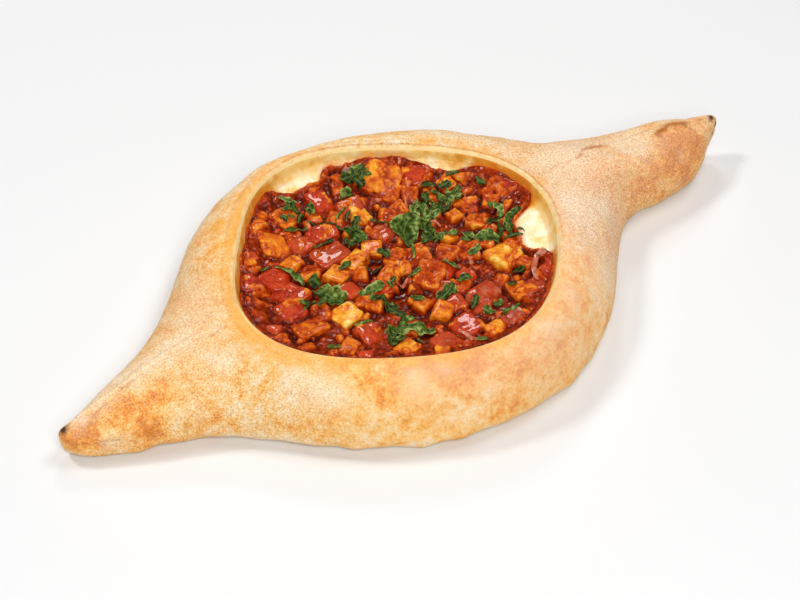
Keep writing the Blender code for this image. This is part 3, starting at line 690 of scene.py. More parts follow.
# Where the crust is pinkish
ROSY = (
    (100, -4, 32, 22, 0.5), (135, 0, 28, 22, 0.3), (160, 1, 23, 12, 0.5), (80, -25, 30, 18, 0.7),
    (72, 20, 34, 20, 0.5), (66, -36, 30, 18, 0.8), (40, -62, 33, 20, 0.5), (12, -79, 31, 18, 0.7),
    (-100, 10, 28, 20, 0.35), (-20, -80, 32, 15, 0.6), (-42, -70, 33, 12, 0.4),
    (-80, 58, 20, 22, 0.3), (75, -55, 20, 20, 0.25), (-145, 6, 16, 10, 0.4),
    (-105, -14, 30, 12, 0.3),
)
# Fat soaked in near the lip
OILED = (
    (-85, -13, 34, 5.5, 0.8), (-87, -21, 34, 5.5, 0.7), (-84, -28, 34, 6, 0.9),
    (-69, -48, 34, 4.5, 0.7), (-81, -35, 34, 5.5, 0.8), (-84, -5, 35, 4.5, 0.6),
    (-82, 4, 35, 4, 0.5), (-76, -42, 34, 4.5, 0.6), (16, -69, 35, 3, 0.4), (3, -74, 35, 3, 0.4),
    (-8, -76, 35, 3, 0.4), (57, -24, 33, 3, 0.6), (60, -14, 33, 3, 0.7), (58, 2, 33, 3, 0.5),
    (56, 20, 35, 4, 0.6), (49, 33, 35, 4.5, 0.6), (39, 45, 35, 4, 0.5), (-77, 22, 34, 4, 0.5),
    (-70, 35, 34, 5, 0.5), (-60, 46, 34, 6, 0.9), (-44, 56, 33, 7, 1.0), (-30, 62, 33, 6, 0.9),
    (-12, 66, 34, 4, 0.6), (6, 66, 34, 3, 0.5), (24, 60, 34, 3, 0.5), (42, 42, 34, 4, 0.6),
    (54, 26, 34, 4, 0.8), (60, 12, 34, 4, 0.8), (62, -3, 34, 4, 0.7), (-60, -56, 34, 3, 0.4),
    (-42, -66, 34, 3, 0.4), (-28, -72, 34, 3, 0.4),
)
# Thin browned lines along folds: points, width and strength
BROWNED_LINES = (
    (((89, 1, 33), (94, 4, 33), (98, 4, 32), (104, 3, 32)), 1.1, 0.8),
    (((131, -1, 29), (139, 2, 28), (145, 1, 28), (149, -2, 26)), 1.2, 0.9),
    (((68, 1, 34), (72, 1, 34), (80, 1, 34)), 0.5, 0.3),
    (((-99, -7, 32), (-93, -7, 33)), 0.6, 0.5),
    (((-138, -4, 22), (-130, -4, 24)), 0.6, 0.5),
    (((-129, 3, 23), (-125, 2, 24)), 0.5, 0.4),
    (((-152, -7, 18), (-147, -6, 20), (-143, -6, 22)), 0.6, 0.5),
    (((-155, -14, 9), (-152, -16, 11), (-148, -18, 11)), 0.7, 0.5),
    (((150, -2, 26), (151, -4, 24), (148, -9, 23), (145, -12, 21)), 0.6, 0.4),
)
# Burnt tips, and one burnt spot low in front
CHARRED = (
    (-164, -3, 14, 2.2, 1.0), (163, 1, 23, 1.5, 1.0), (165, 0, 19, 1.2, 1.0),
    (162, -2, 17, 0.8, 0.8), (-122, -26, 6, 0.9, 0.6),
)


def from_line(points, line):
    """Distance of each point from a bent line."""
    nearest = np.full(points.shape[:-1], np.inf)
    for start, end in zip(np.asarray(line[:-1], float), np.asarray(line[1:], float)):
        way = end - start
        share = np.clip(((points - start) @ way) / (way @ way), 0, 1)
        gap = np.linalg.norm(points - (start + share[..., None] * way), axis=-1)
        nearest = np.minimum(nearest, gap)
    return nearest


def patched(points, patches):
    """How much of a table's patches lies on each point."""
    total = np.zeros(points.shape[:-1])
    for x, y, z, radius, amount in patches:
        gap = np.linalg.norm(points - (x, y, z), axis=-1)
        total += amount * hump(gap, radius * PATCH_SPREAD)
    return total


def dough_grid():
    """Rings of points from the dough's floor, up the wall, over the rim and underneath, with
    each point's distance out from the lip and its direction from the opening's middle."""
    outer = closed_spline(OUTLINE, RAYS_PER_STATION)
    count = len(outer)
    along = np.roll(outer, -1, axis=0) - np.roll(outer, 1, axis=0)
    normal = np.stack([along[:, 1], -along[:, 0]], axis=1)
    normal /= np.linalg.norm(normal, axis=1)[:, None]
    spoke = outer - CENTRE
    bearing = np.arctan2(spoke[:, 1], spoke[:, 0])
    angle = bearing + BEARING_SKEW * np.sin(2 * bearing)
    lip = from_lip(angle, 0)
    reach = outer - lip
    width = np.linalg.norm(reach, axis=1)
    facing = np.abs((reach * normal).sum(axis=1)) / width
    low, high = SHOULDER_POWERS
    power = low + (high - low) * smooth(*HORN_WIDTHS, width) * smooth(*HORN_FACING, facing)
    widest = WIDEST_HEIGHT + risen(outer[:, 0], RIGHT_WIDEST_RISE)
    widest += risen(-outer[:, 0], LEFT_WIDEST_RISE)
    seam = np.zeros(count)
    for station in (0, LEFT_TIP_STATION):
        off = (np.arange(count) - station * RAYS_PER_STATION + count // 2) % count - count // 2
        seam += SEAM_DEPTH * hump(off, SEAM_RAYS)

    rows = [with_height(from_lip(angle, inset), height) for inset, height in DOUGH_WALL]
    outs = [np.full(count, -inset) for inset, _ in DOUGH_WALL]
    shares = [distance / width for distance in np.arange(0, BEAD_REACH, BEAD_STEP)]
    begin = BEAD_REACH / width
    for step in range(SHOULDER_ROWS + 1):
        shares.append(begin + (1 - begin) * math.sin(step / SHOULDER_ROWS * math.pi / 2))
    for share in shares:
        plan = lip + reach * share[:, None]
        drop = np.clip(1 - share**power, 0, 1) ** (1 / power)
        height = widest + (np.interp(plan[:, 0], CREST_STATIONS, CREST_HEIGHTS) - widest) * drop
        soft = np.sin(math.pi * np.clip(share, 0, 1))
        height = height + soft * (LUMP_HEIGHT * lumps(plan[:, 0], plan[:, 1]) - seam)
        rows.append(with_height(plan, height))
        outs.append(share * width)

    under = lifted(outer[:, 0])
    deep, shallow, start, end = TUCK
    tuck = deep + (shallow - deep) * smooth(start, end, np.abs(outer[:, 0]))
    for step in range(1, TUCK_ROWS + 1):
        turn = step / TUCK_ROWS * math.pi / 2
        plan = outer - normal * (tuck * (1 - math.cos(turn)))[:, None]
        rows.append(with_height(plan, under + (widest - under) * (1 - math.sin(turn))))
        outs.append(width)
    edge = rows[-1][:, :2]
    foot = CENTRE + FOOT_RADIUS * np.stack([np.cos(bearing), np.sin(bearing)], axis=1)
    for share in FOOT_SHARES:
        plan = edge + (foot - edge) * share
        rows.append(with_height(plan, lifted(plan[:, 0])))
        outs.append(width)
    return np.array(rows), np.array(outs), angle


def crust_relief(grid, out, angle):
    """Height of the bead, the crease, the lumps and the pinched lines at each point."""
    # The bead's crease is deepest at the left and the back of the opening, faint in front
    deep = 0.35 + 0.65 * smooth(-0.6, 0.5, np.cos(angle - math.radians(CREASE_DEEPEST)))
    bead_at, bead_width, bead_height = BEAD
    crease_at, crease_width, crease_depth = CREASE
    wander = CREASE_WANDER * uneven(grid, 16, 4)
    relief = bead_height * hump(out - bead_at, bead_width) * deep
    relief += crease_depth * hump(out - crease_at + wander, crease_width) * deep**2
    free = smooth(*LUMPS_START, grid[..., 2])
    for seed, (size, height) in enumerate(CRUST_LUMPS):
        relief += height * uneven(grid, size, seed) * free * smooth(-0.5, 1.5, out)
    # The foot's edge bulges out unevenly above the stone
    size, height = EDGE_LUMPS
    low = smooth(0.2, 1.5, grid[..., 2]) * (1 - smooth(3, 9, grid[..., 2]))
    relief += height * (0.3 + uneven(grid * (1, 1, 0.3), size, 8)) * low
    for line, depth, width in PINCHES:
        relief -= depth * hump(from_line(grid, line), width)
    return relief


def bread(finish):
    """The whole crust, with a tone for each of the ways that it was baked and stained."""
    grid, out, angle = dough_grid()
    grid = grid + normals_of(grid) * crust_relief(grid, out, angle)[..., None]

    height = grid[..., 2]
    spots = patched(grid, TOASTED) * (0.8 + 0.6 * uneven(grid, 3, 9))
    toast = TOAST_SHARE * (patched(grid, BROAD_TOAST) + spots)
    # The band just above the board stays pale where it touched the stone's cooler edge
    toast += 0.08 * hump(height - 9, 6) - 0.12 * hump(height, 3)
    # Oil soaks the lip most at the left and the lower right of the opening
    side = np.cos(angle - math.radians(190)) + 0.5 * np.cos(2 * (angle - math.radians(-40)))
    soaked = 0.45 + 0.35 * np.clip(side, -1, 1)
    oil = hump(out - 0.8, 3.2) * soaked * (0.75 + 0.6 * uneven(grid, 5, 11))
    oil += patched(grid, OILED) * (0.9 + 0.5 * uneven(grid, 4, 14))
    # Pale cheese film inside the lip, run on over the lip's top as a painted highlight; its colour
    # is also lightened as painted light on the band under the lip, which lies in shade
    cheesy = smooth(0.5, -1.2, out + 0.6 * uneven(grid, 4, 12))
    # Cheese browned in a thin line along the lip, and the folds scorched on their crests
    line = hump(out - 0.3 + 0.5 * uneven(grid, 9, 13), 0.6)
    scorch = 0.5 * line * smooth(-0.1, 0.9, np.sin(angle + 0.9))
    for points, width, amount in BROWNED_LINES:
        gap = from_line(grid, points) + 0.25 * uneven(grid, 2.5, 15)
        scorch = np.maximum(scorch, amount * hump(gap, width * 1.3))
    # Dry pores show most at the back and on the horns, and less under cheese, oil and toast
    dry = 0.22 + 0.78 * smooth(-60, 5, grid[..., 1] + 0.5 * np.abs(grid[..., 0]))
    dry *= (1 - 0.9 * cheesy) * (1 - 0.6 * np.clip(oil, 0, 1))
    dry *= (1 - 0.4 * smooth(0.2, 0.7, toast)) * (1 + 0.15 * smooth(10, 80, grid[..., 0]))
    tones = {"toast": toast, "oil": np.clip(oil, 0, 1), "cheesy": cheesy, "scorch": scorch,
             "dry": dry}
    for tone, patches in (("flour", FLOURED), ("rosy", ROSY), ("char", CHARRED)):
        tones[tone] = np.clip(patched(grid, patches), 0, 1)
    points, faces = capped(grid, (*CENTRE, DOUGH_WALL[0][1]), (*CENTRE, 0))
    put("bread_crust", points, faces, tones, finish, "dough_boat", "dough_boat")


# ---------------------------------------------------------------- the cheese

# The cheese's top edge runs out thinly up the bread's wall, its backing sunk into the bread
CHEESE_TOP = (
    (1.35, 33.3), (1.6, 33.45), (2.0, 32.6), (2.5, 31.2), (3.0, 30), (3.7, 28.9), (4.6, 27.7),
)
# How many of the solid's rows below that are made finer with it
FINE_ROWS = 3
# Where fat has soaked into the cheese on the wall: (x, y, z, radius, amount)
OILY_CHEESE = (
    (-30, 61, 30, 9, 0.8), (-45, 53, 30, 8, 0.8), (-3, 63, 32, 6, 0.4), (24, 57, 32, 5, 0.3),
    (40, 42, 32, 7, 0.3), (52, 25, 31, 10, 0.6), (59, 12, 32, 10, 0.6), (61, -1, 30, 8, 0.7),
    (62, -30, 31, 8, 0.4), (-60, 43, 31, 7, 0.6), (-74, 20, 31, 9, 0.4), (-79, -5, 31, 10, 0.5),
    (-78, -25, 31, 10, 0.5), (-62, -48, 31, 8, 0.4),
)
# Oil from the stew creeps up the cheese all round by the first, and at the right by more:
# (direction, half-width, amount)
OIL_ALL_ROUND = 0.3
CREEPING_OIL = ((6, 16, 0.7), (-20, 20, 0.2))
POOL_SLOPE = 1.7
CHEESE_RAYS = 420
CHEESE_STEPS = 7
CHEESE_FLOOR = (8.8, 13.6)
# Stands for the distance from the lip of the rows that the bread hides
HIDDEN = -9.0


def finer(profile, steps):
    """More points on a profile, evenly between its own."""
    last = len(profile) - 1
    at = np.linspace(0, last, last * steps + 1)
    return list(zip(*(np.interp(at, range(last + 1), column) for column in zip(*profile))))


def cheese(finish):
    """The cheese that lines the bread, thin at its top edge and pooled in three places."""
    angle = evenly(CHEESE_RAYS)
    pools = pool_width(angle)
    rows = [with_height(from_lip(angle, inset), height) for inset, height in CHEESE_OUTSIDE]
    insets = [HIDDEN] * len(rows)
    start, end = CHEESE_TOP[-1][0], CHEESE_INSIDE[0][0]
    fine = finer(CHEESE_TOP + CHEESE_INSIDE[:FINE_ROWS], CHEESE_STEPS)
    for inset, height in (*fine, *CHEESE_INSIDE[FINE_ROWS:]):
        # A pool leaves the wall steeply and flattens out
        share = min(max((inset - start) / (end - start), 0), 1) ** POOL_SLOPE
        at = inset + pools * (share if inset < end else pooling(inset))
        rows.append(with_height(from_lip(angle, at), height))
        insets.append(inset)
    grid = np.array(rows)
    shown = (smooth(2.5, 4, np.array(insets)) * smooth(22, 25, grid[..., 2].mean(axis=1)))[:, None]
    grid[..., 2] += shown * (0.35 * uneven(grid, 8, 21) + 0.15 * uneven(grid, 3, 22))
    oily = OIL_ALL_ROUND
    for direction, width, amount in CREEPING_OIL:
        oily = oily + amount * hump(degrees_off(angle, direction), width)
    creep = (1.6 + 3.0 * oily) * (1 + 0.35 * uneven(grid, 6, 23))
    _, gap = from_centre(grid[..., 0], grid[..., 1])
    tones = {
        "stain": (1 - smooth(-0.5, creep, gap - stew_edge(angle))) * np.clip(0.6 + oily, 0, 1),
        "thin": smooth(26.5, 31, grid[..., 2] + 0.8 * uneven(grid, 6, 24)),
        "fat": patched(grid, OILY_CHEESE) * (0.9 + 0.6 * uneven(grid, 5, 25)),
    }
    under, upper = CHEESE_FLOOR
    points, faces = capped(grid, (*CENTRE, under), (*CENTRE, upper))
    put("cheese_lining", points, faces, tones, finish, "melted_cheese", "melted_cheese")


# ---------------------------------------------------------------- the stew

# The stew's relief is worked out on a square field of points: its step and half its side
FIELD_STEP = 0.4
FIELD_REACH = 72
FIELD = np.arange(-FIELD_REACH, FIELD_REACH + FIELD_STEP, FIELD_STEP)
FIELD_X, FIELD_Y = np.meshgrid(CENTRE[0] + FIELD, CENTRE[1] + FIELD, indexing="ij")
FIELD_POINTS = np.stack([FIELD_X, FIELD_Y, np.zeros_like(FIELD_X)], axis=-1)
DICE_CUTS = 9
BIT_CUTS = 4
# How round the corners and how rough the faces of each kind and group are
CUT_FACES = {"chicken": (0.12, 0.28), "tomato": (0.24, 0.6), "coated": (0.12, 0.28)}
FILLER_FACES = (0.14, 0.28)
FILLER_SHADES = (0.25, 0.8)
BIT_FACES = (0.3, 0.28)
# Kinds that the pieces of a group take in turn
FILLER_KINDS = ("coated", "tomato", "coated", "coated", "chicken")
EDGE_KINDS = ("coated", "chicken", "coated", "tomato", "coated")
BIT_KINDS = ("coated", "tomato", "coated", "coated", "coated")
# Smaller dices all round the wall
EDGE_COUNT = 44
EDGE_SIZES = (5, 9)
EDGE_LEVELS = (22.6, 24.6)
EDGE_ASPECTS = (0.6, 1)
EDGE_SHADES = (0.2, 0.9)
EDGE_JITTER = 0.4
EDGE_OVERLAP = 1
# Larger pieces on top that the photo shows: kind, place, length, width, turn and tone
TOP_LEVEL = 25.2
TOP_PIECES = (
    ("chicken", 14, 42, 13, 15, 30, 0.4), ("tomato", 37, 38, 10, 9, 60, 0.6),
    ("chicken", 44, 24, 7, 8, 20, 0.35), ("coated", -3, -20, 14, 12, 40, 0.4),
    ("tomato", 36, -48, 8, 12, 10, 0.3), ("coated", 53, 8, 12, 11, 0, 0.5),
)
# Shreds and scraps between the dices
BIT_COUNT = 150
BIT_SIZES = (2.5, 6.5)
BIT_LEVELS = (23.3, 25.2)
BIT_ASPECTS = (0.35, 0.8)
BIT_HEIGHTS = (0.4, 0.8)
BIT_SHADES = (0.1, 0.9)
BIT_ROOM = 2
# Against the wall the stew is heaped that much higher and farther out, from that far in
HEAP_UP = 3.0
HEAP_OUT = 2.3
HEAP_START = 20
# Where it hangs back a little, as (direction, half-width) in degrees
NOTCHES = ((34, 7), (76, 6))
# The sauce ends that far in from the lip
EDGE_INSET = 5.0
# How far pieces of each kind stand out of the sauce; a film covers those below 0
STAND_OUT = {"chicken": 1.7, "tomato": 1.1, "coated": -0.12}
STAND_OUT_RANGE = (0.5, 1.4)
STAND_OUT_SEED = 9
# Patches of sauce that lie on the pieces: size, and the unevenness where one starts and is whole
SAUCE_PATCHES = (6.5, 0.12, 0.4)
PATCH_THICKNESS = 0.3
# At the right it covers nearly everything: (x, y, radius, how much)
SAUCE_COVER = (38, 8, 15, 0.5)
SAUCE_DROP = 0.6
# Height and width of the sauce's edge where it laps onto the cheese or climbs the wall
LAP_HEIGHT = 1.6
LAP_WIDTH = 1.6
# Shreds of pulp: how many, how far from the middle, and the cells of the field on each side of
# one that it may cover
PULP_COUNT = 1700
PULP_REACH = 64
PULP_CELLS = 8
PULP_SEED = 5
# The sauce's mesh: points along each side of its grid, and the skirt and floor that close it
EDGE_GRID = 312
NOISE_RING = 20
RIM_DIP = 1.2
SKIRT_DEPTH = 5
SAUCE_FLOOR = 14.5
# Height from which a fall down onto the pieces starts
FALL_HEIGHT = 60


def stew_limit(angle, height):
    """Farthest radius that the stew may reach in that direction and at that height."""
    insets, levels = zip(*STEW_SIDE)
    inset = np.interp(height, levels, insets) + PIECE_INSET
    reaches = [opening_radius(angle + off) - inset - pool_width(angle + off) * pooling(inset)
               for off in (-PIECE_SPREAD, 0, PIECE_SPREAD)]
    return np.min(reaches, axis=0)


def keep_in_dish(points):
    """Pulls points of a piece in from the wall and down to the top of the stew."""
    angle, gap = from_centre(points[:, 0], points[:, 1])
    height = points[:, 2]
    height = np.where(height > STEW_TOP, STEW_TOP + TOP_SQUASH * (height - STEW_TOP), height)
    pull = np.minimum(1, stew_limit(angle, height) / np.maximum(gap, 1e-9))
    return with_height(CENTRE + (points[:, :2] - CENTRE) * pull[:, None], height)


def heaping(angle):
    """How much the stew is heaped up the wall in that direction: little where cheese pools."""
    notch = sum(hump(degrees_off(angle, direction), width) for direction, width in NOTCHES)
    return (1 - 0.85 * smooth(2.5, 7, pool_width(angle))) * (1 - 0.7 * np.clip(notch, 0, 1))


def stew_edge(angle):
    """Radius at which the sauce ends against the cheese."""
    return opening_radius(angle) - EDGE_INSET - pool_width(angle) + HEAP_OUT * heaping(angle)


def heaped(points):
    """Moves points of the stew near the wall up it and out against it."""
    angle, gap = from_centre(points[:, 0], points[:, 1])
    gap = np.maximum(gap, 1e-9)
    near = smooth(HEAP_START, STEW_SIDE[-1][0], opening_radius(angle) - gap) * heaping(angle)
    plan = CENTRE + (points[:, :2] - CENTRE) * (1 + HEAP_OUT * near / gap)[:, None]
    return with_height(plan, points[:, 2] + HEAP_UP * near)


class Block:
    """A finely divided cube: its corners, its points from -0.5 to 0.5 and its faces."""

    def __init__(self, cuts):
        mesh = bmesh.new()
        bmesh.ops.create_cube(mesh, size=1)
        self.corners = [tuple(vert.co) for vert in mesh.verts]
        bmesh.ops.subdivide_edges(mesh, edges=mesh.edges[:], cuts=cuts, use_grid_fill=True)
        mesh.verts.index_update()
        self.points = np.array([vert.co for vert in mesh.verts])
        self.faces = np.array([[vert.index for vert in face.verts] for face in mesh.faces])
        mesh.free()


DICE = Block(DICE_CUTS)
BIT = Block(BIT_CUTS)


def rounded(points, radius):
    """The cube's points with its edges and corners rounded."""
    inner = np.clip(points, -0.5 + radius, 0.5 - radius)
    away = points - inner
    return inner + radius * away / np.linalg.norm(away, axis=1)[:, None]


def dice(rng, block, size, place, turn, radius, rough, seed):
    """A hand-cut piece as a fine mesh: the same uneven corners, turn and tilt as its solid."""
    corners = [Vector([c * (1 + rng.uniform(*CORNER_SHIFTS)) for c in corner])
               for corner in block.corners]
    roll = Matrix.Rotation(rng.uniform(-PIECE_TILT, PIECE_TILT), 4, "X")
    pitch = Matrix.Rotation(rng.uniform(-PIECE_TILT, PIECE_TILT), 4, "Y")
    lie = np.array(Matrix.Rotation(math.radians(turn), 4, "Z") @ roll @ pitch)[:3, :3]
    soft = rounded(block.points, radius)
    mapped = np.zeros_like(soft)
    for corner, shifted in zip(block.corners, corners):
        weight = np.prod(0.5 + 2 * soft * np.array(corner), axis=1)
        mapped += weight[:, None] * np.array(shifted)
    points = (mapped * size) @ lie.T
    shape = points / np.linalg.norm(points, axis=1)[:, None]
    # Each piece has its own part of the noise
    spots = points + (seed * 31.7, seed * 17.3, 0)
    bulge = 0.2 + 0.75 * uneven(spots, 6, 31) + rough * uneven(spots, 2.4, 32)
    # Fibres along the piece
    bulge += 0.12 * uneven(spots * (0.4, 1, 1), 0.9, 33)
    return heaped(keep_in_dish(points + shape * bulge[:, None] + place))


def filler_places(rng):
    """Places for the smaller pieces, spread between the ones that stand out."""
    taken = [(x, y, (length + width) / 2) for x, y, length, width, *_ in CHICKEN + TOMATO]
    found = []
    while len(found) < FILLER_COUNT:
        angle = rng.uniform(-math.pi, math.pi)
        size = rng.uniform(*FILLER_SIZES)
        radius = math.sqrt(rng.random()) * (stew_limit(angle, PIECE_LEVEL) - size / 2)
        x, y = around(angle, radius)
        room = FILLER_ROOM[len(found) >= FILLER_COUNT // 2]
        if all(math.hypot(x - a, y - b) > room * (size + s) for a, b, s in taken):
            taken.append((x, y, size))
            found.append((x, y, size))
    return found


def stew_pieces():
    """Every dice of the stew: its kind, points, faces, and tone from 0, pale, to 1, dark."""
    rng = Random(STEW_SEED)
    own = Random(OWN_SEED)
    pieces = []

    def cut(draws, kind, block, size, place, turn, faces, shade):
        points = dice(draws, block, size, place, turn, *faces, len(pieces))
        if isinstance(shade, tuple):
            shade = own.uniform(*shade)
        pieces.append((kind, points, block.faces, shade))

    for kind, table in (("chicken", CHICKEN), ("tomato", TOMATO)):
        for x, y, length, width, turn, shade in table:
            size = (length, width, rng.uniform(*PIECE_HEIGHTS))
            place = (x, y, rng.uniform(*PIECE_LEVELS))
            cut(rng, kind, DICE, size, place, turn, CUT_FACES[kind], shade)
    for x, y, length in filler_places(rng):
        size = (length, length * rng.uniform(*FILLER_ASPECTS), rng.uniform(*FILLER_HEIGHTS))
        place = (x, y, rng.uniform(*FILLER_LEVELS))
        kind = FILLER_KINDS[len(pieces) % len(FILLER_KINDS)]
        cut(rng, kind, DICE, size, place, rng.uniform(0, 90), FILLER_FACES, FILLER_SHADES)
    for kind, x, y, length, width, turn, shade in TOP_PIECES:
        size = (length, width, own.uniform(*FILLER_HEIGHTS))
        cut(own, kind, DICE, size, (x, y, TOP_LEVEL), turn, CUT_FACES[kind], shade)
    for number in range(EDGE_COUNT):
        angle = (number + own.uniform(-EDGE_JITTER, EDGE_JITTER)) * 2 * math.pi / EDGE_COUNT
        length = own.uniform(*EDGE_SIZES)
        radius = stew_limit(angle, PIECE_LEVEL) - length / 2 + EDGE_OVERLAP
        size = (length, length * own.uniform(*EDGE_ASPECTS), own.uniform(*FILLER_HEIGHTS))
        place = (*around(angle, radius), own.uniform(*EDGE_LEVELS))
        kind = EDGE_KINDS[number % len(EDGE_KINDS)]
        cut(own, kind, DICE, size, place, own.uniform(0, 90), FILLER_FACES, EDGE_SHADES)
    for number in range(BIT_COUNT):
        angle = own.uniform(-math.pi, math.pi)
        radius = math.sqrt(own.random()) * (stew_limit(angle, PIECE_LEVEL) - BIT_ROOM)
        length = own.uniform(*BIT_SIZES)
        wide, tall = own.uniform(*BIT_ASPECTS), own.uniform(*BIT_HEIGHTS)
        size = (length, length * wide, length * tall)
        place = (*around(angle, radius), own.uniform(*BIT_LEVELS))
        kind = BIT_KINDS[number % len(BIT_KINDS)]
        cut(own, kind, BIT, size, place, own.uniform(0, 90), BIT_FACES, BIT_SHADES)
    return pieces


def blurred(field, width):
    """The field softened over that many millimetres."""
    reach = int(3 * width / FIELD_STEP) + 1
    taps = hump(np.arange(-reach, reach + 1) * FIELD_STEP, width)
    taps /= taps.sum()
    for axis in (0, 1):
        padded = np.pad(field, [(reach, reach) if k == axis else (0, 0) for k in (0, 1)], "edge")
        length = field.shape[axis]
        slices = [np.take(padded, range(k, k + length), axis) for k in range(2 * reach + 1)]
        field = sum(tap * part for tap, part in zip(taps, slices))
    return field


def field_places(x, y):
    """Where plan points lie in the field, counted in its steps."""
    return [(np.asarray(value) - middle + FIELD_REACH) / FIELD_STEP
            for value, middle in zip((x, y), CENTRE)]


def read(field, x, y):
    """The field's value at plan points."""
    u, v = (np.clip(place, 0, len(FIELD) - 1.001) for place in field_places(x, y))
    i, j = u.astype(int), v.astype(int)
    s, t = u - i, v - j
    near = field[i, j] * (1 - s) * (1 - t) + field[i + 1, j] * s * (1 - t)
    return near + field[i, j + 1] * (1 - s) * t + field[i + 1, j + 1] * s * t


def falls_on(pieces):
    """What a fall straight down meets at each point of the field: height and piece, or -1."""
    points, faces, _ = joined([(points, faces, {}) for _, points, faces, _ in pieces])
    owner = np.repeat(np.arange(len(pieces)), [len(faces) for _, _, faces, _ in pieces])
    tree = BVHTree.FromPolygons(points.tolist(), faces.tolist())
    height = np.full(FIELD_X.shape, -1.0)
    which = np.full(FIELD_X.shape, -1)
    for spot in np.ndindex(FIELD_X.shape):
        hit = tree.ray_cast(Vector((FIELD_X[spot], FIELD_Y[spot], FALL_HEIGHT)), -UP)
        if hit[0]:
            height[spot] = hit[0].z
            which[spot] = owner[hit[2]]
    return height, which


def bare_surface():
    """Height of the stew without its pieces."""
    angle, gap = from_centre(FIELD_X, FIELD_Y)
    inset = opening_radius(angle) - gap
    pools = pool_width(angle)
    side = heaping(angle)
    # The ring of the solid that runs through a point, found by closing in on it
    ring = inset
    for _ in range(40):
        ring = inset - pools * pooling(ring)
    insets, heights = zip(STEW_SIDE[-1], *STEW_SURFACE)
    height = np.interp(ring, insets, heights)
    height += STEW_SWELL * lumps(FIELD_X * SWELL_SCALE, FIELD_Y * SWELL_SCALE) * smooth(6, 11, ring)
    height -= SAUCE_DROP * smooth(6, 12, ring)
    height += HEAP_UP * smooth(HEAP_START, STEW_SIDE[-1][0] - HEAP_OUT, inset) * side
    # Over a pool the stew laps onto the cheese; at the wall a film of it climbs a little
    lap = LAP_HEIGHT * (1 - side) * hump(ring - 5.5, LAP_WIDTH)
    film = LAP_HEIGHT * side * hump(inset - 2.6, LAP_WIDTH)
    return height + lap + film


def pulp_on(level):
    """Raises shreds of pulp from the level and gives how pale each is, at its points."""
    rng = Random(PULP_SEED)
    pulp = np.zeros_like(level)
    for _ in range(PULP_COUNT):
        x, y = (middle + rng.uniform(-PULP_REACH, PULP_REACH) for middle in CENTRE)
        long, wide = rng.uniform(0.9, 3.2), rng.uniform(0.5, 1.1)
        turn = rng.uniform(0, math.pi)
        tall = rng.uniform(0.15, 0.55)
        box = tuple(slice(int(place) - PULP_CELLS, int(place) + PULP_CELLS + 1)
                    for place in field_places(x, y))
        across, up = FIELD_X[box] - x, FIELD_Y[box] - y
        u = across * math.cos(turn) + up * math.sin(turn)
        v = up * math.cos(turn) - across * math.sin(turn)
        dome = np.clip(1 - (u / long) ** 2 - (v / wide) ** 2, 0, 1) ** 0.5
        level[box] += tall * dome
        pulp[box] = np.maximum(pulp[box], dome * rng.uniform(-1, 1))
    return blurred(pulp, 0.5)


def sauce_field(pieces, height, which):
    """Height of the sauce that fills between the pieces and climbs onto them, how thin it lies on
    pale ones, and how pale its pulp is."""
    bare = bare_surface()
    own = Random(STAND_OUT_SEED)
    out = np.array([STAND_OUT[kind] * own.uniform(*STAND_OUT_RANGE) for kind, *_ in pieces])
    size, start, end = SAUCE_PATCHES
    x, y, radius, more = SAUCE_COVER
    cover = more * hump(np.hypot(FIELD_X - x, FIELD_Y - y), radius)
    patch = uneven(FIELD_POINTS, size, 47) + 0.3 * uneven(FIELD_POINTS, 1.8, 48) + cover
    patch = smooth(start, end, patch)
    sunk = out[which] * (1 - patch) - PATCH_THICKNESS * patch
    lift = np.where(which >= 0, height - sunk, -1)
    level = np.maximum(bare, lift)
    shade = np.array([piece[3] for piece in pieces])
    film = blurred(((which >= 0) & (lift > bare)) * (1 - shade[which]), 0.6)
    pulp = pulp_on(level)
    # It flows together, then sets in soft lumps
    level = blurred(level, 0.45)
    level += 0.6 * uneven(FIELD_POINTS, 4.4, 42) + 0.3 * uneven(FIELD_POINTS, 1.8, 43)
    return level, film, pulp


def concentric(count):
    """A square grid of points spread over a disc: directions, and radii from -1 to 1."""
    a, b = np.meshgrid(np.linspace(-1, 1, count), np.linspace(-1, 1, count), indexing="ij")
    across = np.abs(a) > np.abs(b)
    safe_a = np.where(a == 0, 1, a)
    safe_b = np.where(b == 0, 1, b)
    radius = np.where(across, a, b)
    angle = np.where(across, math.pi / 4 * b / safe_a, math.pi / 2 - math.pi / 4 * a / safe_b)
    return angle, radius


